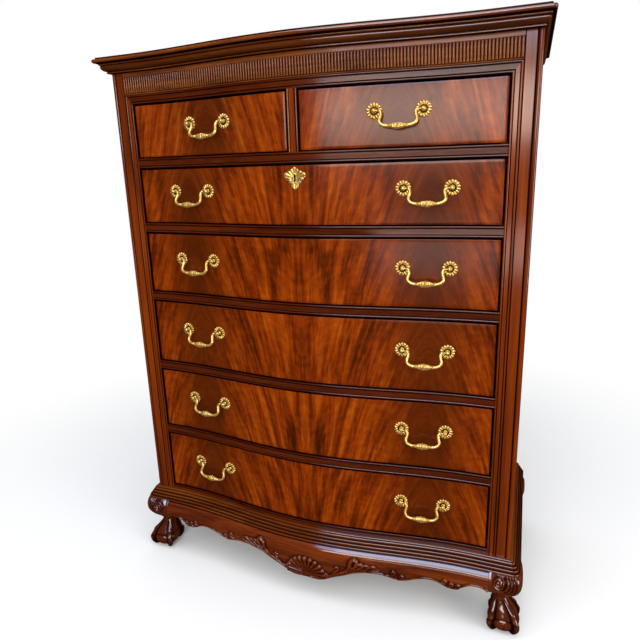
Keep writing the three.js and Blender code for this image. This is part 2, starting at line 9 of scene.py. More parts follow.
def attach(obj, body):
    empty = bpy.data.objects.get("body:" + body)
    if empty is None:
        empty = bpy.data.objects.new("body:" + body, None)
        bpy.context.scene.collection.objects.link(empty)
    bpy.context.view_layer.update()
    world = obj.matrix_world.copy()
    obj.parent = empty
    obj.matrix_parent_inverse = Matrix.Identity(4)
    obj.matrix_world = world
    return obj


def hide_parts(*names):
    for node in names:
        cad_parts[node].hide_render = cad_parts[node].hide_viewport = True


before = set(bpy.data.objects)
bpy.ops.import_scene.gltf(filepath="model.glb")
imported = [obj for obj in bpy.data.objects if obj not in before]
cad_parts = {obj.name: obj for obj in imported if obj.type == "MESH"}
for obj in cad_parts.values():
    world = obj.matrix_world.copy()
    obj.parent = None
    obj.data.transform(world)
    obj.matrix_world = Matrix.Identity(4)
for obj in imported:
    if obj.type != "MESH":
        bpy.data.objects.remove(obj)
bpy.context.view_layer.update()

# Camera, light and floor. The chest is seen close up from its right, at four fifths of its
# height, so the verticals lean together. Windows stand in front of it, soft panels hang over it and
# at its sides, and the lacquer mirrors a blue sky too. The floor is matt white paper.

camera = bpy.data.objects.new("camera", bpy.data.cameras.new("camera"))
bpy.context.scene.collection.objects.link(camera)
right, down, ahead = np.array([[0.93752, 0.34685, -0.0274],
                               [0.05999, -0.23872, -0.96923],
                               [-0.34272, 0.90703, -0.24461]])
pose = np.eye(4)
pose[:3, 0], pose[:3, 1], pose[:3, 2] = right, -down, -ahead
pose[:3, 3] = 0.4827, -1.3179, 1.0853
camera.matrix_world = Matrix(pose.tolist())
camera.data.lens = 30.01
camera.data.shift_x, camera.data.shift_y = -0.0104, -0.0252
camera.data.dof.use_dof = False
bpy.context.scene.camera = camera
bpy.context.scene.view_settings.view_transform = "Standard"


def linear(hex_colour):
    """sRGB hex to linear RGBA: the low end divides by 12.92, the rest follows the 2.4 power."""
    channels = np.array([int(hex_colour[i:i + 2], 16) for i in (1, 3, 5)]) / 255
    low = channels / 12.92
    high = ((channels + 0.055) / 1.055) ** 2.4
    return (*np.where(channels <= 0.04045, low, high).tolist(), 1.0)


def add(tree, kind, sockets=None, stops=None, **settings):
    """One node: settings are its properties, sockets its inputs by name or number, each a value or
    the output it is linked to, and stops a colour ramp's places and hex colours or grey levels."""
    node = tree.nodes.new("ShaderNode" + kind)
    for key, value in settings.items():
        setattr(node, key, value)
    for key, value in (sockets or {}).items():
        if isinstance(value, bpy.types.NodeSocket):
            tree.links.new(value, node.inputs[key])
        else:
            node.inputs[key].default_value = value
    for count, (place, level) in enumerate(stops or ()):
        elements = node.color_ramp.elements
        stop = elements[count] if count < 2 else elements.new(place)
        stop.position = place
        stop.color = linear(level) if isinstance(level, str) else (level, level, level, 1)
    return node


def blank_material(name):
    """An empty node material, its tree and its output node."""
    material = bpy.data.materials.new(name)
    material.use_nodes = True
    material.node_tree.nodes.clear()
    return material, material.node_tree, add(material.node_tree, "OutputMaterial")


def lamp(name, place, aim, size, power, hex_colour, matt=True, gloss=True):
    """A rectangular soft light of the given width and height, facing from its place to its aim. It
    lights the wood where matt is true, and shows in the lacquer where gloss is."""
    data = bpy.data.lights.new(name, "AREA")
    data.shape, data.size, data.size_y = "RECTANGLE", *size
    data.energy, data.color = power, linear(hex_colour)[:3]
    obj = bpy.data.objects.new(name, data)
    bpy.context.scene.collection.objects.link(obj)
    back = np.array(place, float) - np.array(aim, float)
    back /= np.linalg.norm(back)
    side = np.cross([0, 0, 1], back) if abs(back[2]) < 0.99 else np.array([1.0, 0, 0])
    side /= np.linalg.norm(side)
    matrix = np.eye(4)
    matrix[:3] = np.stack([side, np.cross(back, side), back, place], 1)
    obj.matrix_world = Matrix(matrix.tolist())
    obj.visible_diffuse, obj.visible_glossy = matt, gloss


lamp("window_low", (0.35, -3.42, 1.5), (0.15, 0, 0.4), (2.2, 0.45), 30, "#fff1e2")
lamp("window_sky", (0.45, -3.35, 2.4), (0.1, 0, 1.3), (2.0, 1.1), 29, "#eef2fa")
lamp("sky_in_the_lacquer", (0.25, -3.2, 2.6), (0, 0, 1.2), (2.5, 1.15), 64, "#80c4ff", matt=False)
lamp("bright_floor_in_the_lacquer", (0.5, -3.3, 0.45), (0.45, 0, 0.4), (0.7, 0.34), 2.6, "#fff6f0",
     matt=False)
lamp("high_window", (0.35, -2.6, 3.3), (0.1, 0, 0.4), (2.0, 1.0), 18, "#eef0f8")
lamp("overhead", (0.2, -0.9, 3.4), (0, 0, 0.6), (2.6, 1.6), 38, "#f8f8ff")
lamp("left_panel", (-2.6, -2.5, 1.6), (0, 0, 0.8), (1.4, 1.8), 8, "#fff6ea", gloss=False)
lamp("right_panel", (2.9, -1.1, 1.0), (0.4, 0, 0.8), (1.2, 1.5), 38, "#fff4e6")

world = bpy.data.worlds.new("room")
bpy.context.scene.world = world
world.use_nodes = True
tree = world.node_tree
tree.nodes.clear()
rays = add(tree, "LightPath")
# The camera sees white, and the lacquer and the brass mirror a dark room, as in the photograph.
seen = add(tree, "Mix", {0: rays.outputs["Is Glossy Ray"], 6: (0.7, 0.7, 0.7, 1),
                         7: (0.02, 0.02, 0.021, 1)}, data_type="RGBA")
through = add(tree, "Math", {0: rays.outputs["Is Camera Ray"], 1: rays.outputs["Is Transmission Ray"]},
              operation="MAXIMUM")
seen = add(tree, "Mix", {0: through.outputs[0], 6: seen.outputs[2], 7: (1, 1, 1, 1)}, data_type="RGBA")
add(tree, "OutputWorld", {0: add(tree, "Background", {0: seen.outputs[2], 1: 1.0}).outputs[0]})

floor_mesh = bpy.data.meshes.new("floor")
reach = 12
floor_mesh.from_pydata([(x * reach, y * reach, 0) for x, y in ((-1, -1), (1, -1), (1, 1), (-1, 1))], [],
                       [(0, 1, 2, 3)])
floor = bpy.data.objects.new("floor", floor_mesh)
bpy.context.scene.collection.objects.link(floor)
# Matt white paper that shows the shadow of the chest. It turns to plain white from 0.9 to 1.9 m
# from the middle, so no edge of the shadow or floor shows, and it is dark in the lacquer.
material, tree, output = blank_material("matt_white_paper")
rays = add(tree, "LightPath")
place = add(tree, "TexCoord").outputs["Object"]
away = add(tree, "VectorMath", {0: place}, operation="LENGTH")
plain = add(tree, "MapRange", {0: away.outputs["Value"], 1: 0.9, 2: 1.9, 3: 0.0, 4: 1.0},
            interpolation_type="SMOOTHSTEP")
paper = add(tree, "BsdfDiffuse", {0: (0.86, 0.885, 0.905, 1)})
white = add(tree, "Emission", {0: (1, 1, 1, 1), 1: 1.0})
drawn = add(tree, "MixShader", {0: plain.outputs[0], 1: paper.outputs[0], 2: white.outputs[0]})
grey = add(tree, "BsdfDiffuse", {0: (0.3, 0.29, 0.29, 1)})
dark = add(tree, "BsdfDiffuse", {0: (0.02, 0.02, 0.02, 1)})
others = add(tree, "MixShader", {0: rays.outputs["Is Glossy Ray"], 1: grey.outputs[0], 2: dark.outputs[0]})
tree.links.new(add(tree, "MixShader", {0: rays.outputs["Is Camera Ray"], 1: others.outputs[0],
                                       2: drawn.outputs[0]}).outputs[0], output.inputs[0])
floor_mesh.materials.append(material)

# Face frame: two stiles, a divider and seven rails of solid mahogany under a glossy lacquer,
# tenoned and glued. Each edge that meets a drawer carries a scratched bead. The stiles have a
# groove outside the beads and a larger bead worked on the corner of the case.

UPRIGHT, ACROSS, INWARD = 2, 0, 1


def grains(tree, place, along, *patterns):
    """Noise patterns of a wood, each given by its width across the grain and its length along it,
    both in millimetres, and its settings."""
    drawn = []
    for width, length, settings in patterns:
        scale = [1000 / width] * 3
        scale[along] = 1000 / length
        vector = add(tree, "Mapping", {0: place, 3: scale}).outputs[0]
        drawn.append(add(tree, "TexNoise", {"Vector": vector, "Scale": 1, **settings}).outputs[0])
    return drawn


def mahogany(name, along, deep, red, light, shine=0.95, polish=0.13, coat_index=1.5):
    """Stained mahogany under lacquer. Bands 28 mm wide and streaks 4 mm wide run along the grain,
    short dark pores lie between them, and the lacquer is a clear coat with faint waves. Painted shade
    darkens the hollows and gaps and dulls the lacquer there. A higher coat index stands for a thicker,
    harder gloss."""
    material, tree, output = blank_material(name)
    bands, streaks, pores, waves = grains(
        tree, add(tree, "TexCoord").outputs["Object"], along,
        (28, 420, {"Detail": 3, "Distortion": 0.6}), (4, 150, {"Detail": 4, "Roughness": 0.6}),
        (1.1, 16, {"Detail": 1}), (9, 60, {"Detail": 2}))
    mixed = add(tree, "Math", {0: bands, 1: 0.6}, operation="MULTIPLY")
    mixed = add(tree, "Math", {0: streaks, 1: 0.4, 2: mixed.outputs[0]}, operation="MULTIPLY_ADD")
    wood = add(tree, "ValToRGB", {0: mixed.outputs[0]}, stops=[(0.33, deep), (0.7, light), (0.5, red)])
    pitted = add(tree, "MapRange", {0: pores, 1: 0.3, 2: 0.42, 3: 0.78, 4: 1.0})
    toned = add(tree, "Mix", {0: 1.0, 6: wood.outputs[0], 7: pitted.outputs[0]},
                data_type="RGBA", blend_type="MULTIPLY")
    # Painted shade, given at each vertex, darkens the colour towards near black and thins the coat.
    painted_shade_and_tone = add(tree, "Attribute", attribute_name="painted_shade_and_tone")
    with_painted_shade = add(tree, "Mix", {0: painted_shade_and_tone.outputs["Fac"], 6: toned.outputs[2], 7: linear("#160502")},
                 data_type="RGBA")
    bump = add(tree, "Bump", {"Strength": 0.35, "Distance": 0.0001, "Height": streaks})
    coat_bump = add(tree, "Bump", {"Strength": 0.12, "Distance": 0.0004, "Height": waves})
    dulled = add(tree, "MapRange", {0: painted_shade_and_tone.outputs["Fac"], 1: 0.1, 2: 0.9, 3: shine, 4: 0.05 * shine})
    shader = add(tree, "BsdfPrincipled", {
        "Base Color": with_painted_shade.outputs[2], "Roughness": 0.5, "IOR": 1.5,
        "Specular IOR Level": 0.0, "Coat Weight": dulled.outputs[0], "Coat Roughness": polish,
        "Coat IOR": coat_index, "Normal": bump.outputs[0], "Coat Normal": coat_bump.outputs[0]})
    tree.links.new(shader.outputs[0], output.inputs[0])
    return material


# Red-brown stained mahogany with a soft gloss, made nearly black in the hollows by painted shade.
DEEP, RED, LIGHT = "#4a1a03", "#6b2905", "#863a08"
upright_wood = mahogany("lacquered_mahogany_upright_grain", UPRIGHT, DEEP, RED, LIGHT)
level_wood = mahogany("lacquered_mahogany_level_grain", ACROSS, "#310f02", "#4b1a05", "#602708")
inward_wood = mahogany("lacquered_mahogany_front_to_back_grain", INWARD, DEEP, RED, LIGHT)

CASE, OPENING, FRAME_STRIP = 493.5, 440.0, 20.0
STILE_Y, FRAME_BACK, INSIDE_BACK, BACK_Y = -182.0, -160.0, 257.0, 265.0
CASE_BOTTOM, BOTTOM_RAIL, RAIL_HEIGHT, TOP_RAIL_HEIGHT = 163.0, 42.0, 24.0, 22.0
TALLEST_DRAWER, BOW_SPAN, BOW_RISE = 171.0, 424.0, 36.0
HEIGHTS = TALLEST_DRAWER * np.array([0.977, 0.988, 1, 0.912, 0.795, 0.749])
FLOORS = CASE_BOTTOM + BOTTOM_RAIL + np.concatenate([[0], np.cumsum(HEIGHTS + RAIL_HEIGHT)[:-1]])
TOP_RAIL = FLOORS[-1] + HEIGHTS[-1]
FRIEZE = TOP_RAIL + TOP_RAIL_HEIGHT
CORNICE = FRIEZE + 50
CASE_TOP = CORNICE + 20


def bow(x):
    """How far the front stands forward at x: a raised cosine 36 mm high between the stiles."""
    wave = np.cos(pi * np.clip(x, -BOW_SPAN, BOW_SPAN) / BOW_SPAN)
    return np.where(np.abs(x) < BOW_SPAN, BOW_RISE / 2 * (1 + wave), 0)


def stations(start, end, step=6.0):
    """Places from start to end in even steps no longer than step, always with the middle in them."""
    if start < 0 < end:
        return np.concatenate([stations(start, 0, step)[:-1], stations(0, end, step)])
    return np.linspace(start, end, max(2, int(np.ceil((end - start) / step)) + 1))


def arc(middle, radius, start, end, steps=8):
    """Points of a circular arc, or of an ellipse where radius is a pair, its angles given in degrees
    from the first axis."""
    turn = np.radians(np.linspace(start, end, steps + 1))
    return np.array(middle) + np.array(radius) * np.stack([np.cos(turn), np.sin(turn)], 1)


def skin(points, capped=True):
    """Vertices and faces of a grid of points, rows by columns: each cell is a quad, the last column
    joins the first, and a face closes each end row where capped."""
    rows, cols = points.shape[:2]
    index = np.arange(rows * cols).reshape(rows, cols)
    across = np.roll(index, -1, 1)
    quads = np.stack([index[:-1], across[:-1], across[1:], index[1:]], -1).reshape(-1, 4)
    ends = [index[0][::-1].tolist(), index[-1].tolist()] if capped else []
    return points.reshape(-1, 3), quads.tolist() + ends


def make(name, parts, material, body="case", node=None, slot="mahogany", angle=32, painted_shade_and_tone=None):
    """One mesh object, in metres, from skins in millimetres, each a closed shell whose faces are
    turned outwards. A third item of a skin is its material's number. Edges sharper than angle stay
    crisp. It rides on its body and stands for its node. The last argument gives each vertex a darkness:
    painted shade on the wood, and darker hollows and joints on the brass."""
    vertices, faces, numbers, shift = [], [], [], 0
    for points, cells, *number in parts:
        vertices.append(points)
        faces += [[i + shift for i in cell] for cell in cells]
        numbers += (number or [0]) * len(cells)
        shift += len(points)
    mesh = bpy.data.meshes.new(name)
    mesh.from_pydata((np.concatenate(vertices) * 0.001).tolist(), [], faces)
    mesh.polygons.foreach_set("material_index", numbers)
    work = bmesh.new()
    work.from_mesh(mesh)
    bmesh.ops.recalc_face_normals(work, faces=work.faces)
    work.to_mesh(mesh)
    work.free()
    mesh.shade_smooth()
    mesh.set_sharp_from_angle(angle=radians(angle))
    if painted_shade_and_tone is not None:
        mesh.attributes.new("painted_shade_and_tone", "FLOAT", "POINT").data.foreach_set(
            "value", np.clip(painted_shade_and_tone, 0, 1).astype(np.float32))
    for each in material if isinstance(material, list) else [material]:
        mesh.materials.append(each)
    obj = bpy.data.objects.new(name, mesh)
    bpy.context.scene.collection.objects.link(obj)
    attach(obj, body)
    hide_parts(node)
    return obj


def beaded_edge(height):
    """Half of a rail's face, from its edge to its middle, as (forward, up, painted shade): a half-round
    bead, a sunk quirk and the flat, which lies 0.5 mm behind the bead. Painted shade darkens the
    quirk and the gap beside the drawer."""
    bead, quirk, sink = 2.3, 1.4, 1.6
    face = np.concatenate([arc((-bead, bead), bead, -90, 90),
                           [[-bead - sink + 0.6, 2 * bead + 0.1], [-sink, 2 * bead + quirk * 0.5],
                            [-0.5, 2 * bead + quirk], [-0.5, 2 * bead + quirk + 0.8], [-0.5, height / 2]]])
    return np.column_stack([face, [1, 1, 0.7, 0.2, 0, 0, 0, 0.3, 0.8, 1, 1, 0.8, 0, 0]])


def rail_profile(height, lower=True):
    """A rail's closed section as (forward, up, painted shade), beaded on the edges that meet a drawer:
    the upper one always, the lower one where lower is true. Its back, inside the gaps, is painted fully
    dark."""
    bottom = beaded_edge(height)
    top = bottom[::-1] * [1, -1, 1] + [0, height, 0]
    if not lower:
        bottom = np.array([[-0.5, 0.0, 0], [-0.5, height / 2, 0]])
    return np.concatenate([bottom, top[1:], [[-22, height, 1], [-22, 0, 1]]])


def rail(low, height, mitre=0.0, **edges):
    """A rail's section carried along the bowed front; its ends slope by mitre over its height."""
    profile = rail_profile(height, **edges)
    x = stations(-OPENING, OPENING)[:, None] + 0 * profile[None, :, 0]
    lean = mitre * profile[:, 1] / height
    x[0], x[-1] = x[0] - lean, x[-1] + lean
    y = STILE_Y - bow(x) - profile[None, :, 0]
    y[:, profile[:, 0] < -20] = FRAME_BACK
    z = low + profile[None, :, 1] + 0 * x
    return skin(np.stack([x, y, z], -1)), (profile[:, 2] + 0 * x).ravel()


def make_with_painted_shade(name, pieces, material, **where):
    """Makes one object from pairs of a skin and the painted shade of its vertices."""
    return make(name, [piece for piece, _ in pieces], material,
                painted_shade_and_tone=np.concatenate([dark for _, dark in pieces]), **where)


rails = [rail(floor_z - RAIL_HEIGHT, RAIL_HEIGHT) for floor_z in FLOORS[1:]]
rails.append(rail(CASE_BOTTOM, BOTTOM_RAIL, lower=False))
rails.append(rail(TOP_RAIL, TOP_RAIL_HEIGHT, mitre=FRAME_STRIP))
make_with_painted_shade("face_frame_rails", rails, level_wood, node="face_frame")


def post_of_frame(outline, low, high, slope=None):
    """A plan outline of (x, y, painted shade) points stood upright; its top slopes with x where slope is
    given."""
    heights = np.array([low, high])[:, None] + 0 * outline[None, :, 0]
    if slope:
        heights[1] = high + slope(outline[:, 0])
    x = outline[None, :, 0] + 0 * heights
    y = outline[None, :, 1] + 0 * heights
    return (skin(np.stack([x, y, heights], -1)),
            (outline[None, :, 2] + 0 * heights).ravel())


strip = beaded_edge(FRAME_STRIP)
strip = np.concatenate([strip, (strip[::-1] * [1, -1, 1] + [0, FRAME_STRIP, 0])[1:]])
# The third column of each plan is painted shade: dark in the quirks and grooves and on the faces hidden
# inside the case.
strip_plan = np.concatenate([np.stack([OPENING + strip[:, 1], STILE_Y - strip[:, 0], strip[:, 2]], 1),
                             [[OPENING + FRAME_STRIP, FRAME_BACK, 1], [OPENING, FRAME_BACK, 1]]])
corner = np.pad(arc((CASE - 5.4, STILE_Y + 5.4), 5.4, -160, 70, 14), ((0, 0), (0, 1)))
corner[:3, 2] = 1, 0.7, 0.2
corner[-2:, 2] = 0.4, 0.8
stile_plan = np.concatenate([
    [[460.2, FRAME_BACK, 1], [460.2, STILE_Y + 2.4, 1], [461.6, STILE_Y + 0.5, 0.9],
     [462.4, STILE_Y + 0.5, 0], [480.2, STILE_Y + 0.5, 0], [480.9, STILE_Y + 0.5, 0.7],
     [482.0, STILE_Y + 3.2, 1]], corner,
    [[CASE - 2, STILE_Y + 12.4, 1], [CASE, STILE_Y + 14, 0], [CASE, FRAME_BACK, 0]]])
stiles = []
for hand in (-1, 1):
    stiles.append(post_of_frame(strip_plan * [hand, 1, 1], CASE_BOTTOM, TOP_RAIL,
                                lambda x: (np.abs(x) - OPENING) * TOP_RAIL_HEIGHT / FRAME_STRIP))
    stiles.append(post_of_frame(stile_plan * [hand, 1, 1], CASE_BOTTOM, CASE_TOP))
divider = rail_profile(RAIL_HEIGHT)
divider_x = divider[:, 1] - RAIL_HEIGHT / 2
divider_y = np.where(divider[:, 0] < -20, FRAME_BACK, STILE_Y - bow(divider_x) - divider[:, 0])
stiles.append(post_of_frame(np.stack([divider_x, divider_y, divider[:, 2]], 1), FLOORS[-1] - 1,
                            TOP_RAIL + 1))
make_with_painted_shade("face_frame_stiles", stiles, upright_wood, node="face_frame")

# Case boards: solid mahogany sides with the grain upright, a back of three pale boards, a pale
# bottom board, and the pale runners and guides that carry the drawers. All edges are eased.


def pale_board(name, along):
    """Planed poplar, sealed but not polished: pale bands 24 mm wide and grain lines 2.4 mm wide."""
    material, tree, output = blank_material(name)
    bands, lines = grains(tree, add(tree, "TexCoord").outputs["Object"], along,
                          (24, 500, {"Detail": 3, "Distortion": 0.8}), (2.4, 120, {"Detail": 3}))
    mixed = add(tree, "Mix", {0: 0.45, 2: bands, 3: lines})
    wood = add(tree, "ValToRGB", {0: mixed.outputs[0]},
               stops=[(0.34, "#8f663e"), (0.66, "#c29b6a"), (0.5, "#ad8150")])
    bump = add(tree, "Bump", {"Strength": 0.3, "Distance": 0.0002, "Height": lines})
    shader = add(tree, "BsdfPrincipled", {"Base Color": wood.outputs[0], "Roughness": 0.6, "IOR": 1.5,
                                          "Normal": bump.outputs[0]})
    tree.links.new(shader.outputs[0], output.inputs[0])
    return material


pale_upright = pale_board("sealed_pale_board_upright_grain", UPRIGHT)
pale_level = pale_board("sealed_pale_board_level_grain", ACROSS)
pale_inward = pale_board("sealed_pale_board_front_to_back_grain", INWARD)


def plank(x, y, z, ease=0.8):
    """A board between two places on each axis, its edges eased: rings of a rounded rectangle that
    shrink towards its two ends along the second axis."""
    (x0, x1), (y0, y1), (z0, z1) = sorted(x), y, z
    rings = []
    for depth, inset in ((y0, ease), (y0 + ease, 0), (y1 - ease, 0), (y1, ease)):
        a, b, c, d, e = x0 + inset, x1 - inset, z0 + inset, z1 - inset, ease
        ring = [[a + e, c], [b - e, c], [b, c + e], [b, d - e], [b - e, d], [a + e, d], [a, d - e],
                [a, c + e]]
        rings.append([[p, depth, q] for p, q in ring])
    return skin(np.array(rings, float))


INSIDE = CASE - 20
for side, hand in (("left", -1), ("right", 1)):
    board = [plank((hand * INSIDE, hand * CASE), (FRAME_BACK, BACK_Y), (CASE_BOTTOM, CASE_TOP))]
    make(f"{side}_side_board", board, upright_wood, node=f"{side}_side")
    carriers = []
    for floor_z in FLOORS:
        carriers.append(plank((hand * (OPENING - 36), hand * INSIDE), (FRAME_BACK, INSIDE_BACK),
                              (floor_z - 18, floor_z)))
        carriers.append(plank((hand * OPENING, hand * INSIDE), (FRAME_BACK, INSIDE_BACK),
                              (floor_z, floor_z + 14)))
    make(f"{side}_drawer_runners", carriers, pale_inward, node=f"{side}_side", slot="box_wood")

top_floor = FLOORS[-1]
runner = [plank((-32, 32), (FRAME_BACK, INSIDE_BACK), (top_floor - 18, top_floor)),
          plank((-12, 12), (FRAME_BACK, INSIDE_BACK), (top_floor, top_floor + 14))]
make("centre_runner", runner, pale_inward, node="face_frame", slot="box_wood")

third = 2 * INSIDE / 3
boards = [plank((-INSIDE + k * third, -INSIDE + (k + 1) * third), (INSIDE_BACK, BACK_Y),
                (CASE_BOTTOM, CASE_TOP), 1.2) for k in range(3)]
make("back_boards", boards, pale_upright, node="back_panel", slot="box_wood")
bottom = plank((-INSIDE, INSIDE), (FRAME_BACK, INSIDE_BACK), (CASE_BOTTOM, CASE_BOTTOM + 12))
make("bottom_boards", [bottom], pale_level, node="bottom_board", slot="box_wood")

# Frieze: a bowed mahogany board under the cornice, its face cut into a close row of upright reeds
# by a moulding plane, with a plain strip above and a thin bead below.

HALF_FRIEZE = OPENING + FRAME_STRIP


def dome(t):
    """1 at 0, falling as a quarter circle to 0 at 1 and beyond."""
    return np.sqrt(np.clip(1 - t ** 2, 0, 1))


def bell(x, width):
    """1 at 0, falling on both sides as e to the minus square of x over the width."""
    return np.exp(-(x / np.array(width)) ** 2)


def reeded_face():
    """The face as a grid: a reed is half an ellipse 4.9 mm wide and 2 mm proud in each 6.6 mm, the
    flats between lie 0.5 mm deep, and the reeds run out within 1 mm of their two ends."""
    count = round(2 * HALF_FRIEZE / 6.6)
    pitch = 2 * HALF_FRIEZE / count
    across = np.array([-0.5, -0.37, -0.36, -0.31, -0.2, -0.07, 0.07, 0.2, 0.31, 0.36, 0.37])
    x = (np.arange(count)[:, None] + 0.5 + across) * pitch - HALF_FRIEZE
    x = np.append(x.ravel(), HALF_FRIEZE)
    share = np.append(np.tile(across, count), -0.5) / 0.37
    reed = dome(share) * 2.5
    z = FRIEZE + np.array([0, 0.2, 1.1, 2.0, 2.4, 3.6, 3.7, 4.2, 5, 22, 39, 39.8, 40.3, 40.4, 41.2, 50])
    standing = np.array([0, 0, 0, 0, 0, 0, 0.55, 0.85, 1, 1, 1, 0.85, 0.55, 0, 0, 0])
    ground = np.array([0, 0.5, 1.3, 0.5, *[-0.6] * 10, 0.2, 0.2])
    proud = ground + standing * reed[:, None]
    y = STILE_Y - bow(x)[:, None] - proud
    points = np.stack([x[:, None] + 0 * proud, y, z + 0 * proud], -1)
    back = points[:, [-1, 0]].copy()
    back[:, :, 1] = FRAME_BACK
    # Painted shade darkens the flats between the reeds, fading up each reed, and the quirks below and above
    # them.
    dark = np.clip(1.15 - reed[:, None] / 1.6, 0, 1) * standing
    dark[:, [4, 5, 13]] = 0.9
    dark[:, 6] = dark[:, 12] = 0.6
    return skin(np.concatenate([points, back], 1)), np.pad(dark, ((0, 0), (0, 2)))


face, dark = reeded_face()
# The reeded board is a lighter, yellower mahogany with less gloss; its colour also paints the warm sheen on
# the reeds.
reed_wood = mahogany("lacquered_mahogany_reeded", ACROSS, "#5c2a10", "#7e441c", "#9a5a2a", 0.6, 0.14)
make("reeded_frieze", [face], reed_wood, node="frieze_rail", painted_shade_and_tone=dark.ravel(), angle=40)

# Cornice and top: a moulding in three lengths, mitred at the two rounded front corners, with a small
# bead, an ovolo, a second bead and a large half-round nosing, under a flat top board with a rounded
# lip.


def front_length(profile, floor_z, front, side, turned):
    """A moulding across the front: the (share, up) profile is pushed forwards by front(share), and
    its ends run out sideways by side(share). Each corner is an arc in plan, whose radius is the
    share turned of side(share), up to the mitre at its middle."""
    share, up = profile[:, 0], profile[:, 1]
    bend = np.radians(np.linspace(0, 45, 7))[:, None]
    radius = turned * side(share)
    end = CASE + side(share) - radius + radius * np.sin(bend)
    back = radius * (1 - np.cos(bend))
    x = np.concatenate([-end[::-1], stations(-CASE, CASE)[1:-1, None] + 0 * share, end])
    y = STILE_Y - bow(x) - front(share)
    y[:7] += back[::-1]
    y[-7:] += back
    return skin(np.stack([x, y, floor_z + up + 0 * x], -1)), len(x)


def side_length(hand, profile, floor_z, front, side, turned):
    """The same moulding down one side of the case, from its mitre to the back."""
    share, up = profile[:, 0], profile[:, 1]
    bend = np.radians(np.linspace(45, 90, 7))[:, None]
    radius = turned * side(share)
    y = STILE_Y - front(share) + radius * (1 - np.cos(bend))
    x = CASE + side(share) - radius * (1 - np.sin(bend))
    rest = np.stack([np.full(len(share), k) for k in (-100, 80, BACK_Y)])
    y = np.concatenate([y, rest])
    x = hand * np.concatenate([x, CASE + side(share) + 0 * rest])
    return skin(np.stack([x, y, floor_z + up + 0 * y], -1)), len(x)


def out_by(start, end):
    """How far a share of the profile stands out; shares below 0 lie on the face of the case."""
    return lambda share: np.where(share < 0, 0.3, start + share * (end - start))


CORNICE_HEIGHT = 29.0
cornice = np.concatenate([
    [[-1, 0]], arc((0, 1.7), (0.045, 1.7), -90, 90), [[0.0, 3.8], [0.01, 4.4]],
    arc((0.02, 12.4), (0.44, 8.2), -88, 22, 14), [[0.39, 15.8]],
    arc((0.48, 18.3), (0.08, 2.2), -80, 80, 10), [[0.5, 20.6], [0.86, 20.7]],
    arc((0.865, 24.8), (0.135, 4.1), -84, 84, 16), [[0.8, CORNICE_HEIGHT], [-1, CORNICE_HEIGHT]]])
cornice[:, 1] = np.clip(cornice[:, 1], 0, CORNICE_HEIGHT)
quirks = np.array([0.0, 4.1, 15.8, 20.6, CORNICE_HEIGHT])
# Painted shade fills the quirks, and between them a lighter painted shade lies ever thinner from the ovolo
# up to the nosing.
cornice_dark = bell(cornice[:, 1:] - quirks, [0.7, 0.8, 0.7, 0.7, 1.0]).max(1)
below = np.interp(cornice[:, 1], [4.2, 7, 10, 15.6, 16.2, 20.5, 20.8], [0.6, 0.45, 0.34, 0.3, 0.2, 0.12, 0])
cornice_dark = np.maximum(cornice_dark, below * (cornice[:, 1] > 4.2))

# The mouldings' wood is lighter and more golden than the case wood: painted light, for the light that falls
# from above on the nosing of the cornice.
moulded_level, moulded_inward = [
    mahogany(f"polished_moulding_{grain}_grain", along, "#4a1e08", "#6e3410", "#8c4c1c", 1.0, 0.08, 1.8)
    for grain, along in (("level", ACROSS), ("front_to_back", INWARD))]


def run_moulding(name, profile, dark, node, *shape):
    """Makes the three lengths of a moulding, with the painted shade of its profile on each."""
    lengths = [(front_length(profile, *shape), "front", moulded_level)]
    for end, hand in (("left", -1), ("right", 1)):
        lengths.append((side_length(hand, profile, *shape), end, moulded_inward))
    for (piece, rows), end, wood in lengths:
        make(f"{name}_{end}", [piece], wood, node=node, painted_shade_and_tone=np.tile(dark, rows))


run_moulding("cornice", cornice, cornice_dark, "cornice_moulding", CORNICE, out_by(12, 47),
             out_by(1, 18), 0.45)

LIP = CORNICE + CORNICE_HEIGHT


def top_board(front, side, low, high, ease, edge_dark=0.0):
    """A bowed board: rings of its section across the chest, the front edge rounded, the first and
    last rings drawn in so that the side edges round as well. Its front edge gets the given painted shade."""
    half = CASE + side
    inner = stations(-half + ease, half - ease, 8)
    x = np.concatenate([[-half, -half + ease * 0.3], inner, [half - ease * 0.3, half]])
    pinch = ease * (1 - np.concatenate([[0, 0.71], np.ones(len(inner)), [0.71, 0]]))
    round_edge = arc((0, 0), 1, -90, 90)
    z_mid, z_half = (low + high) / 2, (high - low) / 2
    z = z_mid + np.concatenate([round_edge[:, 1] * z_half, [z_half, z_half, -z_half, -z_half]])
    z = z[None] + (z_mid - z[None]) * (pinch / z_half)[:, None]
    y_front = STILE_Y - bow(x) - front + pinch
    y = y_front[:, None] + z_half * (1 - round_edge[:, 0])
    behind = y_front[:, None] + z_half + 2.5
    y = np.concatenate([y, behind, np.full((len(x), 2), BACK_Y), behind], 1)
    dark = np.zeros_like(y)
    dark[:, :9] = edge_dark
    return skin(np.stack([x[:, None] + 0 * y, y, z], -1)), dark.ravel()


# The lip's rounded front edge gets a strong painted shade.
make_with_painted_shade("top_board_lip", [top_board(39, 10, LIP, LIP + 4, 1.6, 0.8),
                              top_board(0, 0, CASE_TOP, LIP, 0.5)], level_wood, node="top_board")

# Base moulding: four rounded beads that step outwards down to the feet, planted round the front
# and both sides of the case in three lengths, mitred at the rounded corners.

beads = [[-1, 0]]
for step in range(4):
    share, up = 1 - step * 0.245, step * 6.6
    bead = arc((share - 0.13, up + 2.9), (0.13, 2.9), -90, 90)
    beads += bead.tolist() + [[share - 0.2, up + 5.9], [share - 0.2, up + 6.5]]
beads = np.array(beads + [[0.04, 26.6], [0, 28], [-1, 28]])
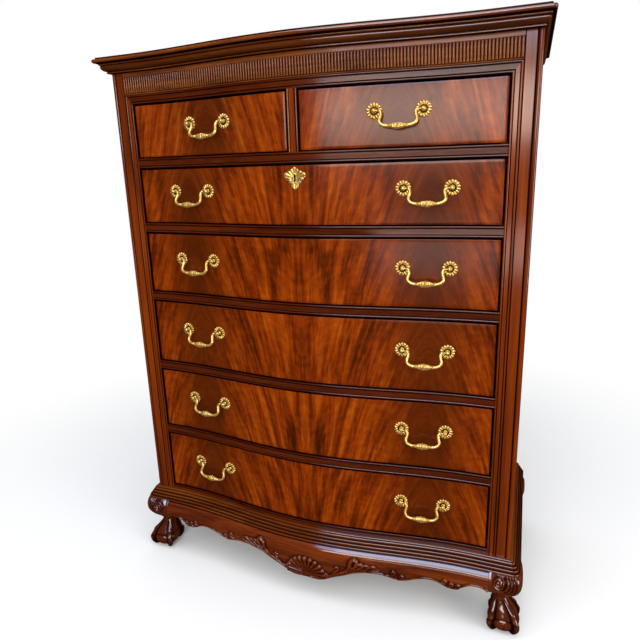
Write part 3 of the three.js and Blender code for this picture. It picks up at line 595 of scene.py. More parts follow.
# Painted shade darkens the quirks between the beads, and the whole moulding is darkened a little.
base_dark = bell(beads[:, 1:] + 0.7 - [6.6, 13.2, 19.8, 26.9], 1.0).max(1)
run_moulding("base_moulding", beads, np.maximum(base_dark, 0.2), "base_moulding", CASE_BOTTOM,
             out_by(6, 25), out_by(6, 25), 0.75)

# Front apron: one bowed board with a swelling face and a cupid's-bow lower edge, carved with a
# scallop shell at the middle, leafy scrolls beside it and small curls on the outer points.

APRON_HALF, APRON_DROP = 448.6, 106.0


def smooth_through(places, values, at):
    """A smooth curve through the given points: on each span a cubic whose end slopes are the local
    averages of the points' differences."""
    places, values = np.asarray(places, float), np.asarray(values, float)
    slopes = np.gradient(values, places)
    k = np.clip(np.searchsorted(places, at, side="right") - 1, 0, len(places) - 2)
    span = places[k + 1] - places[k]
    t = np.clip((at - places[k]) / span, 0, 1)
    return ((1 + 2 * t) * (1 - t) ** 2 * values[k] + t * (1 - t) ** 2 * span * slopes[k]
            + t * t * (3 - 2 * t) * values[k + 1] + t * t * (t - 1) * span * slopes[k + 1])


def swell(down):
    """How far the apron's face stands forward, from the share of the way down its full drop."""
    return 20 + 14 * smooth_through([0, 0.14, 0.32, 0.55, 1], [0, 0.75, 1, 0.8, 0.35], down)


APRON_EDGE = [[0, 1], [0.067, 0.991], [0.112, 0.943], [0.169, 0.821], [0.225, 0.717], [0.27, 0.623],
              [0.315, 0.557], [0.36, 0.519], [0.416, 0.509], [0.461, 0.528], [0.499, 0.575], [0.54, 0.604],
              [0.576, 0.575], [0.618, 0.509], [0.675, 0.443], [0.715, 0.443], [0.749, 0.491],
              [0.787, 0.575], [0.83, 0.594], [0.87, 0.5], [0.9, 0.415], [0.933, 0.387], [0.971, 0.396],
              [1, 0.47]]


def ridge(x, z, path, widths, height):
    """A rounded ridge along a smooth path: the height falls as half an ellipse with the distance
    from the path, whose width changes evenly from the first value through the middle to the last."""
    path = np.array(path, float)
    along = np.linspace(0, len(path) - 1, 12 * len(path))
    line = np.stack([smooth_through(np.arange(len(path)), path[:, k], along) for k in (0, 1)], 1)
    width = np.interp(along / along[-1], np.linspace(0, 1, len(widths)), widths)
    raised = np.zeros_like(x)
    near = ((x > line[:, 0].min() - 12) & (x < line[:, 0].max() + 12)
            & (z > line[:, 1].min() - 12) & (z < line[:, 1].max() + 12))
    away = np.hypot(x[near][:, None] - line[:, 0], z[near][:, None] - line[:, 1]) / width
    raised[near] = height * dome(away.min(1)) ** 0.8
    return raised


def shell_relief(x, z):
    """A scallop shell seen from the front: eleven lobes fan out from a point near the lower edge.
    Each is a half-round that widens and rises outwards and ends in a rounded tip."""
    out, turn = np.hypot(x, z - 70), np.arctan2(z - 70, x)
    lobe = turn / pi * 11
    across = np.abs(np.sin(pi * lobe))
    length = 50 + 7 * np.sqrt(across)
    share = out / length
    raised = (1.6 + 6.0 * np.clip(share, 0, 1) ** 1.5) * across ** 0.55
    ending = dome(np.clip((share - 0.86) / 0.14, 0, 1))
    hub = 3.4 * dome(out / 11)
    inside = (z > 66) & (share < 1)
    return np.where(inside, np.maximum(raised * ending, hub), 0), np.where(inside, 1 - across ** 0.5, 0)


# Scrolls and leaves on the right half, each a path with its widths and its height.
SCROLLS = [
    ([(12, 64), (24, 63), (38, 64), (50, 70), (57, 78), (54, 84), (49, 82)], (3.2, 3.6, 2.4), 4.5),
    ([(52, 73), (66, 80), (82, 88), (98, 97), (114, 107), (124, 118)], (3, 4.2, 3.4), 4.2),
    ([(100, 99), (112, 110), (118, 122), (122, 136), (131, 143), (137, 137), (133, 131)], (3, 5, 2.4), 5.5),
    ([(118, 110), (129, 119), (138, 130), (149, 134), (154, 128)], (3, 4.6, 2.2), 5.0),
    ([(128, 112), (142, 120), (156, 131), (166, 133)], (2.6, 4.4, 1.6), 4.4),
    ([(146, 114), (160, 121), (174, 131), (184, 132)], (2.6, 4.0, 1.4), 3.8),
    ([(163, 114), (176, 118), (190, 122)], (2.2, 3.2, 1.2), 3.0),
    ([(74, 90), (84, 99), (88, 108), (84, 113), (79, 109)], (2.4, 3.4, 1.8), 3.6),
    ([(206, 111), (218, 112), (228, 116), (231, 123), (226, 126), (222, 122)], (2.2, 3.4, 2.0), 4.0),
    ([(238, 103), (246, 106), (250, 112), (246, 116), (242, 112)], (2.6, 3.4, 2.0), 3.6),
    ([(340, 113), (348, 115), (353, 121), (349, 125), (345, 121)], (2.4, 3.2, 1.8), 3.4),
    ([(356, 105), (364, 108), (368, 114), (364, 118), (360, 114)], (2.4, 3.4, 1.8), 3.6),
    ([(371, 104), (379, 106), (384, 112), (381, 117), (376, 114)], (2.4, 3.6, 1.8), 3.8)]


def carved_apron():
    """The board as rings, one at each x: down the face in 92 rows, round the lower edge and up the
    flat back. A thin bead follows the lower edge; shell, scrolls and bead are added to the face."""
    x = np.concatenate([-stations(60, APRON_HALF, 1.35)[::-1], stations(-60, 60, 0.85)[1:-1],
                        stations(60, APRON_HALF, 1.35)])
    edge = np.array(APRON_EDGE)
    lowest = CASE_BOTTOM - APRON_DROP * smooth_through(edge[:, 0] * APRON_HALF, edge[:, 1], np.abs(x))
    share = np.linspace(0, 1, 92)
    z = CASE_BOTTOM + (lowest[:, None] - CASE_BOTTOM) * share
    down = (CASE_BOTTOM - z) / APRON_DROP
    grid_x = x[:, None] + 0 * z
    slope = np.gradient(lowest, x)[:, None]
    above = (z - lowest[:, None]) / np.sqrt(1 + slope ** 2)
    bead = 1.5 * dome((above - 2.4) / 2.4)
    sunk = 1.1 * bell(above - 6.0, 1.3)
    shell, hollow = shell_relief(grid_x, z)
    leaves = np.zeros_like(z)
    for path, widths, height in SCROLLS:
        leaves = np.maximum(leaves, ridge(np.abs(grid_x), z, path, widths, height))
    carved = np.maximum(np.maximum(leaves * 1.25, shell * 1.2), bead)
    # Painted shade: dark between the lobes of the shell, on the ground round the foot of the carving, in
    # the sunk groove above the edge bead, and in a band under the base moulding.
    around_it = carved.copy()
    for _ in range(14):
        around_it[1:-1, 1:-1] = 0.2 * (around_it[2:, 1:-1] + around_it[:-2, 1:-1] + around_it[1:-1, 2:]
                                       + around_it[1:-1, :-2] + around_it[1:-1, 1:-1])
    dark = 0.75 * hollow + np.clip(0.85 * (around_it - carved), 0, 0.9) + 0.5 * (sunk > 0.5)
    dark = dark + np.clip((5.2 - CASE_BOTTOM + z) / 2, 0, 1)
    y = STILE_Y - bow(grid_x) - swell(down) - carved + np.where(carved > 0.4, 0, sunk)
    back = STILE_Y - bow(x) + 4
    ring = np.stack([grid_x, y, z], -1)
    under = y[:, -1:] + (back[:, None] - y[:, -1:]) * [0.08, 0.5]
    lower = np.stack([x[:, None] + 0 * under, under, lowest[:, None] - 1.2 + 0 * under], -1)
    rear = np.stack([np.repeat(x[:, None], 2, 1), np.repeat(back[:, None], 2, 1),
                     np.stack([lowest, np.full_like(x, CASE_BOTTOM)], 1)], -1)
    dark = np.pad(dark, ((0, 0), (0, 4)))
    return skin(np.concatenate([ring, lower, rear], 1)), dark


board, dark = carved_apron()
apron_wood = mahogany("lacquered_mahogany_apron", ACROSS, "#3e1608", "#63270c", "#83400f", 1.0, 0.1, 1.6)
make("carved_apron", [board], apron_wood, node="front_apron", painted_shade_and_tone=dark.ravel(), angle=60)

# Feet: each cut from one post. A swelling knee with a volute and four curved flutes narrows to
# an ankle, from which four clawed toes with a web between them grip a ball.

KNEE = np.array([  # height, then outer, inner, front and back reach from the middle of the ball, squareness
    [84, 6.5, 25.5, 12, 21, 2.0], [88, 10.5, 26.5, 13, 22, 2.0], [92, 17, 28.5, 15, 24, 2.1],
    [96, 22.5, 32, 18, 27, 2.2], [100, 26, 35, 22, 30, 2.3], [106, 30, 38, 28, 33, 2.4],
    [113, 33.3, 42, 34.5, 36, 2.6], [122, 36.2, 50, 41, 40, 2.8], [134, 38, 60, 45.5, 50, 3.1],
    [146, 38, 64, 45, 60, 3.3], [154, 37, 64, 41.5, 60, 3.3], [159, 35.5, 64, 37, 60, 3.3],
    [163, 33.5, 64, 31, 60, 3.3]])
LEAN = np.array([  # height, how far the middle of the section lies inwards and back
    [40, 0, 0], [55, 2.5, 1.5], [72, 8, 4], [84, 9.5, 4.5], [95, 9, 4], [110, 4, 1.5], [130, 0, 0]])
TOES = np.array([  # height, outer reach of the toe, half its width
    [3, 34, 7.0], [5, 38.5, 7.6], [8, 41.5, 8.0], [11, 44, 8.2], [16, 47, 8.6], [22, 49, 9.0],
    [28, 49.3, 9.6], [36, 46.5, 10.8], [44, 42.5, 10.2], [52, 38.5, 10.2], [60, 33.5, 9.6], [68, 28, 8.8],
    [76, 22, 7.8], [84, 17, 7.0], [90, 14, 6.5]])
INNER_REACH, BACK_REACH = 37.4, 38.0
FOOT_X, FOOT_Y, REAR_FOOT_Y = 486.0, -177.0, 220.0


def eased(value):
    """0 below 0, 1 above 1, and the smooth step 3t^2 - 2t^3 between."""
    t = np.clip(value, 0, 1)
    return t * t * (3 - 2 * t)


def knee_radius(z, turn, inward, back, carved):
    """Radius of the knee over height and angle about its leaning middle: a rounded rectangle with
    its own reach on each side, flat where it meets the aprons. On the inner half of a carved knee
    the front eases from the level of the front apron out to the knee."""
    outer, inner, fore, behind, power = [
        smooth_through(KNEE[:, 0], KNEE[:, k], np.clip(z, 84, CASE_BOTTOM))[:, None] for k in range(1, 6)]
    fore = fore if carved else fore * (1 - 0.2 * eased((z[:, None] - 95) / 30))
    c, s = np.cos(turn)[None], np.sin(turn)[None]
    wide = np.where(c > 0, outer + inward, inner - inward)
    deep = np.where(s < 0, fore + back, behind - back)
    radius = (np.abs(c / wide) ** power + np.abs(s / deep) ** power) ** (-1 / power)
    radius = np.minimum(radius, (INNER_REACH - inward) / np.maximum(-c, 0.01))
    radius = np.minimum(radius, (BACK_REACH - back) / np.maximum(s, 0.01))
    if not carved:
        return radius
    level = swell((CASE_BOTTOM - z) / APRON_DROP) + FOOT_Y - STILE_Y
    along = np.linspace(0, -INNER_REACH, 60)
    for k in np.nonzero(z > 108)[0]:
        front = level[k] + (fore[k] - level[k]) * eased((along + 34) / 22)
        px = np.append(along, -INNER_REACH) + inward[k]
        py = -np.append(front, -back[k]) - back[k]
        angle = np.arctan2(py, px) % (2 * pi)
        flat = np.interp(turn, angle[::-1], np.hypot(px, py)[::-1])
        here = (turn > pi) & (turn < angle[0])
        radius[k, here] += (flat - radius[k])[here] * eased((z[k] - 108) / 10)
    return radius


def foot_surface(inward_hand, front_hand, carved):
    """The foot as rings of radius over angle, one each 0.8 mm of height, or each 1.4 mm where it is
    not carved. Below the knee a web turns to the ball, and four toes are half-ellipses added at the
    diagonals. Where carved, the knee has a spiral volute and four hollow flutes round it."""
    levels, sides = (203, 320) if carved else (120, 180)
    z = np.unique(np.concatenate([[0, 0.5], np.linspace(1, CASE_BOTTOM, levels), [162.6]]))
    turn = 2 * pi * (np.arange(sides) + 0.5) / sides
    inward, back = [smooth_through(LEAN[:, 0], LEAN[:, k], np.clip(z, 40, 130))[:, None] for k in (1, 2)]
    knee = knee_radius(z, turn, inward, back, carved)
    zz = z[:, None] + 0 * knee
    web = smooth_through([34, 40, 46, 52, 58, 66, 76, 84], [34, 33.2, 31.4, 29.2, 26.6, 22.8, 18.6, 16.2],
                         np.clip(zz, 34, 84))
    ball = 37 * np.sqrt(np.clip(1 - ((zz - 25) / 25.8) ** 2, 0.06, 1))
    edge = 35 + 5.5 * np.cos(2 * turn)[None] ** 2
    webbed = 1 / (1 + np.exp(-(zz - edge) / 0.7))
    body = np.where(zz < 84, ball + (web - ball) * webbed, knee)
    off = np.abs(turn % (pi / 2) - pi / 4)[None]
    toe, half = [smooth_through(TOES[:, 0], TOES[:, k], np.clip(zz, 3, 90)) for k in (1, 2)]
    toe = toe + 1.9 * bell(zz - 55, 5) + 1.4 * bell(zz - 32, 5)
    spread = toe * np.sin(off) / half
    blunt = 2 + 2 * np.clip((32 - zz) / 12, 0, 1)
    raised = np.clip(toe * np.cos(off) - body, 0, None) * np.sqrt(np.clip(1 - spread ** blunt, 0, 1))
    raised = raised * np.clip((90 - zz) / 10, 0, 1) * np.clip((zz - 3) / 1.6, 0, 1)
    radius = body + raised
    # Painted shade: dark along the sides of each toe, under the edge of the web over the ball, and in a
    # crease across each toe low down. The foot is also darker below the knee, and the lowest 2 mm are left
    # clear.
    dark = 0.9 * bell(spread - 1.0, 0.2) * (zz < 80) + 0.8 * bell(zz - edge, 1.8)
    dark = dark + 0.5 * bell(zz - 22, 1.1) * (raised > 1) + 0.32 * eased((92 - zz) / 16)
    if carved:
        ring = knee[np.argmin(np.abs(z - 145))]
        px, py = ring * np.cos(turn), ring * np.sin(turn)
        length = np.concatenate([[0], np.cumsum(np.hypot(np.diff(px), np.diff(py)))])
        along = (length - np.interp(1.5 * pi, turn, length))[None] + 0 * zz
        out = np.hypot(1.06 * (along + 15), 0.94 * (zz - 149.5))
        swirl = np.arctan2(zz - 149.5, along + 15)
        groove = np.cos(2 * pi * (out / 6.6 - swirl / (2 * pi)))
        disc = eased((13.6 - out) / 1.3)
        volute = disc * (2.6 + 1.9 * groove * np.clip(out / 4, 0, 1))
        fan = eased((out - 15) / 1.5) * eased((50 - out) / 2) * (along > -16) * (along < 75)
        fan = fan * eased((swirl + 1.25) / 0.3) * eased((1.35 - swirl) / 0.2)
        hollow = np.abs(np.sin(pi * (out - 15) / 8.6)) ** 0.8
        fade = np.clip((zz - 114) / 10, 0, 1) * np.clip((163.2 - zz) / 2, 0, 1)
        radius = radius + (volute - 3.0 * fan * hollow) * fade
        # Painted shade in the hollow flutes, in the spiral groove of the volute and in a ring round its
        # disc.
        dark = dark + (0.95 * fan * hollow ** 2 + 0.9 * disc * np.clip(-1.6 * groove, 0, 1)
                       + bell(out - 15.2, 1.9) * (along < 5)) * fade
    x = radius * np.cos(turn) - inward
    y = radius * np.sin(turn) + back
    return np.stack([inward_hand * x, front_hand * y, zz], -1), dark * (zz > 2)


carved_wood = mahogany("lacquered_mahogany_feet", UPRIGHT, "#38130a", "#5c240f", "#7c3b17", 1.0, 0.12,
                       1.85)
for end, y, way in (("front", FOOT_Y, 1), ("rear", REAR_FOOT_Y, -1)):
    for side, hand in (("left", -1), ("right", 1)):
        points, dark = foot_surface(hand, way, end == "front")
        make(f"{end}_{side}_claw_and_ball_foot", [skin(points + [hand * FOOT_X, y, 0])], carved_wood,
             node=f"{end}_{side}_foot", painted_shade_and_tone=dark.ravel(), angle=50)

# Side aprons: plain shaped boards between the feet, with a slightly swelling outer face and a
# rounded lower edge.

SIDE_EDGE = np.array([[0, 1], [0.06, 0.98], [0.12, 0.7], [0.2, 0.52], [0.35, 0.5], [0.5, 0.62],
                      [0.65, 0.5], [0.8, 0.52], [0.88, 0.7], [0.94, 0.98], [1, 1]])
SIDE_FRONT, SIDE_BACK, SIDE_DROP = -138.6, 181.9, 62.0


def side_apron(hand):
    """Rings along the side, one at each y: down the swelling face, round the edge and up the back."""
    y = stations(SIDE_FRONT, SIDE_BACK, 2.0)
    share = (y - SIDE_FRONT) / (SIDE_BACK - SIDE_FRONT)
    lowest = CASE_BOTTOM - SIDE_DROP * smooth_through(SIDE_EDGE[:, 0], SIDE_EDGE[:, 1], share)
    down = np.linspace(0, 1, 24)
    z = CASE_BOTTOM + (lowest[:, None] - CASE_BOTTOM) * down
    face_x = 511.5 - 6 * (1 - np.sin(pi * np.clip(0.12 + 0.8 * down, 0, 1))) + 0 * z
    edge_x = np.stack([face_x[:, -1] - 1.5, np.full_like(y, 489), np.full_like(y, 487.6),
                       np.full_like(y, 487.6)], 1)
    edge_z = np.stack([lowest - 1.0, lowest - 1.0, lowest, np.full_like(y, CASE_BOTTOM)], 1)
    x = np.concatenate([face_x, edge_x], 1)
    z = np.concatenate([z, edge_z], 1)
    return skin(np.stack([hand * x, y[:, None] + 0 * z, z], -1))


for side, hand in (("left", -1), ("right", 1)):
    make(f"{side}_shaped_apron", [side_apron(hand)], inward_wood, node=f"{side}_apron")

# Drawers: a bowed front with a sheet of book-matched crotch veneer glued on its face, and pale
# sides, back and bottom. The figure arches over each pull, and the halves of a wide sheet meet at
# the middle.


def flame_veneer():
    """Crotch mahogany veneer under lacquer, drawn in its own map, whose first axis runs along the
    figure and whose second crosses it: broad bands 36 mm wide, streaks 8 mm and lines 2.2 mm wide, a
    mottle of 24 by 15 mm, fine dark pores, and a darker tone over the crown of each arch."""
    material, tree, output = blank_material("lacquered_flame_mahogany_veneer")
    bands, streaks, lines, pores, mottle, waves = grains(
        tree, add(tree, "UVMap", uv_map="figure").outputs[0], 0,
        (36, 240, {"Detail": 2, "Distortion": 1.3}),
        (8, 90, {"Detail": 3, "Roughness": 0.6, "Distortion": 0.5}), (2.2, 26, {"Detail": 3}),
        (0.8, 7, {"Detail": 1}), (24, 15, {"Detail": 3}), (14, 50, {"Detail": 2}))
    mixed = add(tree, "Math", {0: bands, 1: 0.42}, operation="MULTIPLY")
    for pattern, share in ((streaks, 0.28), (lines, 0.15), (mottle, 0.15)):
        mixed = add(tree, "Math", {0: pattern, 1: share, 2: mixed.outputs[0]}, operation="MULTIPLY_ADD")
    wood = add(tree, "ValToRGB", {0: mixed.outputs[0]},
               stops=[(0.36, "#371100"), (0.68, "#a95a10"), (0.44, "#5c1f00"), (0.51, "#7a2c00"),
                      (0.59, "#953f02")])
    tone = add(tree, "Attribute", attribute_name="painted_shade_and_tone")
    shaded = add(tree, "Mix", {0: tone.outputs["Fac"], 6: wood.outputs[0], 7: linear("#461a02")},
                 data_type="RGBA")
    pitted = add(tree, "MapRange", {0: pores, 1: 0.32, 2: 0.44, 3: 0.7, 4: 1.0})
    toned = add(tree, "Mix", {0: 1.0, 6: shaded.outputs[2], 7: pitted.outputs[0]},
                data_type="RGBA", blend_type="MULTIPLY")
    bump = add(tree, "Bump", {"Strength": 0.2, "Distance": 0.0001, "Height": lines})
    coat_bump = add(tree, "Bump", {"Strength": 0.1, "Distance": 0.0004, "Height": waves})
    shader = add(tree, "BsdfPrincipled", {
        "Base Color": toned.outputs[2], "Roughness": 0.5, "IOR": 1.5, "Specular IOR Level": 0.0,
        "Coat Weight": 0.6, "Coat Roughness": 0.18, "Coat IOR": 1.5,
        "Normal": bump.outputs[0], "Coat Normal": coat_bump.outputs[0]})
    tree.links.new(shader.outputs[0], output.inputs[0])
    return material


veneer = flame_veneer()
# Front boards painted nearly black and matt: painted shade for the gaps round the drawers, where their
# edges show.
gap_shade_board = mahogany("front_board_painted_for_gap_shade", ACROSS, "#120402", "#180603", "#200904", 0.0)
FACE_Y, BOX_SIDE = STILE_Y + 3, 12
WIDE_PULL, SMALL_PULL, CROWN = 286, 226, 295


def bowed_plate(x0, x1, z0, z1, out, thick, ease, flat_back=None):
    """A bowed plate: rings of its eased section at each x; the back follows the front at the given
    thickness, or lies flat at flat_back."""
    x = np.concatenate([[x0], stations(x0 + ease, x1 - ease, 6), [x1]])
    inset = np.concatenate([[ease], np.zeros(len(x) - 2), [ease]])[:, None]
    e = ease
    depth = np.array([[0.0, 0, 0, e, thick - e, thick, thick, thick, thick - e, e]])
    height = np.array([[z0 + e, (z0 + z1) / 2, z1 - e, z1, z1, z1 - e, (z0 + z1) / 2, z0 + e, z0, z0]])
    middle = (z0 + z1) / 2
    y = FACE_Y - bow(x)[:, None] + out + depth + inset * np.sign(thick / 2 - depth)
    if flat_back is not None:
        y = np.where(depth > thick / 2, flat_back, y)
    z = height + inset * np.sign(middle - height)
    return skin(np.stack([x[:, None] + 0 * y, y, z + 0 * y], -1))


def lay_figure(obj, centre, crown, floor_z, height, seed):
    """Gives a veneer sheet its map. The lines of the figure rise from both sides to a rounded crown,
    which lies at the crown's distance from the seam, and stand upright at the seam itself. The
    second axis crosses the lines: a hyperbola of the distance from the crown, plus the height
    times a share that falls to nothing at the seam. The first axis runs along them. The seed moves
    the map, so that no two sheets are alike, and the crown gets a darker tone."""
    mesh = obj.data
    co = np.empty(len(mesh.vertices) * 3)
    mesh.vertices.foreach_get("co", co)
    co = co.reshape(-1, 3) * 1000
    across = np.abs(np.abs(co[:, 0] - centre) - crown)
    up = co[:, 2] - floor_z - height / 2
    bend, slant, toned = 20, 0.4, 92
    steep = across / np.hypot(across, bend)
    rise = slant * np.cos(pi / 2 * np.clip(across / CROWN, 0, 1))
    uv = np.stack([across * rise - up * steep + seed * 977,
                   np.hypot(across, bend) + up * rise + seed * 413], 1) * 0.001
    corners = np.empty(len(mesh.loops), int)
    mesh.loops.foreach_get("vertex_index", corners)
    mesh.uv_layers.new(name="figure").data.foreach_set("uv", uv[corners].ravel())
    crown_tone = 0.78 * bell(across, toned)
    mesh.attributes.new("painted_shade_and_tone", "FLOAT", "POINT").data.foreach_set("value", crown_tone.astype(np.float32))


def add_drawer(name, x0, x1, row, centre, crown):
    """The five parts of a drawer: veneer sheet, front, sides, back and bottom, as two objects."""
    # The front is clear of the frame by 0.3 mm below, 3 mm above and 2.5 mm at each side.
    low, high = FLOORS[row] + 0.3, FLOORS[row] + HEIGHTS[row] - 3
    start, end = x0 + 2.5, x1 - 2.5
    node, body = f"{name}_drawer", f"{name}_drawer_body"
    # The face is cut into short steps both ways, so that the map bends smoothly.
    x = np.concatenate([[start + 2], stations(start + 2.8, end - 2.8, 5), [end - 2]])
    lifted, lowered = low + 2.4, high - 1.6
    z = np.concatenate([[lifted], np.linspace(lifted + 0.8, lowered - 0.8, 26), [lowered]])
    set_back = np.zeros((len(x), len(z)))
    set_back[:, -1] = 0.15
    set_back[[0, -1]] = set_back[:, [0]] = 0.6
    face_y = FACE_Y - bow(x)[:, None] + set_back
    grid = np.stack([x[:, None] + 0 * face_y, face_y, z + 0 * face_y], -1)
    rear = grid[:, ::-1].copy()
    rear[:, :, 1] = FACE_Y - bow(x)[:, None] + 1.0
    sheet = make(f"{name}_veneer", [skin(np.concatenate([grid, rear], 1))],
                 veneer, body, node, "flame_veneer", 40)
    lay_figure(sheet, centre, crown, FLOORS[row], HEIGHTS[row], row + 1 + (x0 > -100) * 7)
    box_top, box_back = high - 14, INSIDE_BACK - 22
    behind = FACE_Y + 22
    inner, outer, board = start + BOX_SIDE, end - BOX_SIDE, (low, box_top)
    parts = [(*bowed_plate(start, end, lifted, high - 2.0, 1.0, 21, 0.5), 2),
             (*plank((start, inner), (behind - 8, box_back), board, 1.2), 0),
             (*plank((outer, end), (behind - 8, box_back), board, 1.2), 0),
             (*plank((inner, outer), (box_back - BOX_SIDE, box_back), board, 1.2), 1),
             (*bowed_plate(inner, outer, low + 8, low + 15, 21, 30, 0.5, box_back - BOX_SIDE), 1)]
    make(f"{name}_box", parts, [pale_inward, pale_level, gap_shade_board], body, node, "box_wood")


ROWS = ["bottom", "fifth", "fourth", "third", "second"]
for row, name in enumerate(ROWS):
    add_drawer(name, -OPENING, OPENING, row, 0, CROWN)
add_drawer("top_left", -OPENING, -RAIL_HEIGHT / 2, 5, -SMALL_PULL, 0)
add_drawer("top_right", RAIL_HEIGHT / 2, OPENING, 5, SMALL_PULL, 0)

# Pulls: cast brass, polished and lacquered. Each post is a petalled rosette with a sunk dark ring, a
# neck and an eye, held by a bolt and a nut behind the front. The swan-neck bail swings in two eyes.


def antique_brass():
    """Cast brass, polished and lacquered: a warm yellow metal, brown where wax and tarnish stay in
    the hollows, with a fine uneven polish."""
    material, tree, output = blank_material("polished_antique_brass")
    place = add(tree, "TexCoord").outputs["Object"]
    clouds = add(tree, "TexNoise", {"Vector": place, "Scale": 260, "Detail": 3})
    gold = add(tree, "ValToRGB", {0: clouds.outputs[0]}, stops=[(0.35, "#dfa63e"), (0.65, "#f8d684")])
    tarnish = add(tree, "Attribute", attribute_name="painted_shade_and_tone")
    worn = add(tree, "Mix", {0: tarnish.outputs["Fac"], 6: gold.outputs[0], 7: linear("#341804")},
               data_type="RGBA")
    rough = add(tree, "MapRange", {0: clouds.outputs[0], 1: 0.3, 2: 0.7, 3: 0.22, 4: 0.32})
    bump = add(tree, "Bump", {"Strength": 0.15, "Distance": 0.0003, "Height": clouds.outputs[0]})
    shader = add(tree, "BsdfPrincipled", {
        "Base Color": worn.outputs[2], "Metallic": 0.68, "Roughness": rough.outputs[0],
        "Specular IOR Level": 0.2, "Normal": bump.outputs[0]})
    tree.links.new(shader.outputs[0], output.inputs[0])
    return material


brass = antique_brass()
EYE_OUT, SPACING, SEAT, PULL_HEIGHT = 9.5, 100.0, 0.8, 0.575


def turned_y(profile, sides=28):
    """A turned solid round the second axis from (radius, depth) points; its ends lie on the axis."""
    turn = 2 * pi * np.arange(sides) / sides
    profile = np.asarray(profile, float)
    radius, depth = np.maximum(profile[:, :1], 0.02), profile[:, 1:]
    return np.stack([radius * np.cos(turn), depth + 0 * radius * turn, radius * np.sin(turn)], -1)


def rosette():
    """Rings of radius and angle: fourteen domed petals with notched tips, a ring of small beads, a
    dark sunk ring and a smooth seat for the neck. The back is flat."""
    turn = 2 * pi * np.arange(112) / 112
    petal = np.abs(np.sin(7 * turn))
    share = np.array([0.02, 0.2, 0.3, 0.36, 0.41, 0.46, 0.5, 0.56, 0.64, 0.74, 0.84, 0.92, 0.97, 1])
    share = share[:, None]
    edge = 14.3 + 2.5 * np.sqrt(petal)
    radius = share * edge
    petals = dome((share - 0.77) / 0.235) * (0.6 + 1.9 * petal ** 0.7)
    ring = bell(share - 0.56, 0.03) * (0.7 + 0.3 * np.cos(28 * turn))
    height = 0.7 + petals + 0.9 * ring + 0.8 * (share < 0.34)
    front = np.stack([radius * np.cos(turn), -SEAT - height, radius * np.sin(turn)], -1)
    back = front[::-1].copy()
    back[:, :, 1] = 0.4 - SEAT
    dark = np.clip(0.9 - 1.9 * petal, 0, 0.9) * (share > 0.54) * share + 1.0 * (share < 0.52)
    return skin(np.concatenate([front, back])), np.concatenate([dark, 0 * dark])


def eye(hand):
    """A ball of radius 4.6 mm with a round hole 2.15 mm in radius from its inner side to its middle:
    a profile turned round the first axis, down the hole and out over the ball."""
    hole, ball = 2.15, 4.6
    start = np.degrees(np.arcsin(hole / ball))
    over = arc((0, 0), ball, start, 180, 18)
    profile = np.concatenate([[[0.1, 0.02], [0.1, hole]], over])
    profile = np.maximum(profile, [-ball, 0.02])
    turn = 2 * pi * np.arange(28) / 28
    along, radius = profile[:, :1], profile[:, 1:]
    points = np.stack([-hand * along + 0 * turn, radius * np.cos(turn) - EYE_OUT,
                       radius * np.sin(turn)], -1)
    return skin(points)


def post_parts(hand):
    """A whole post round its own middle: rosette, neck, eye, bolt and nut, and its dark hollows."""
    petals, dark = rosette()
    neck = turned_y([[0, -1.5], [5.0, -1.6], [5.2, -2.6], [4.0, -3.6], [3.4, -5.2], [3.2, -6.7], [0, -6.8]])
    bolt = turned_y([[0, -1.2], [2.3, -1.2], [2.3, 27.0], [1.8, 27.6], [0, 27.6]], 16)
    nut = turned_y([[2.0, 23.7], [5.6, 23.7], [6.0, 24.1], [6.0, 27.2], [5.6, 27.5], [2.0, 27.5]], 6)
    parts = [petals, skin(neck), eye(hand), skin(bolt), skin(nut)]
    shades = [dark.ravel()] + [np.zeros(len(p[0])) for p in parts[1:]]
    # The neck is darker at its two ends, where it meets the rosette and the eye.
    shades[1] = np.repeat([0.7, 0.5, 0.1, 0.1, 0.3, 0.6, 0.6], 28)
    return parts, np.concatenate(shades)


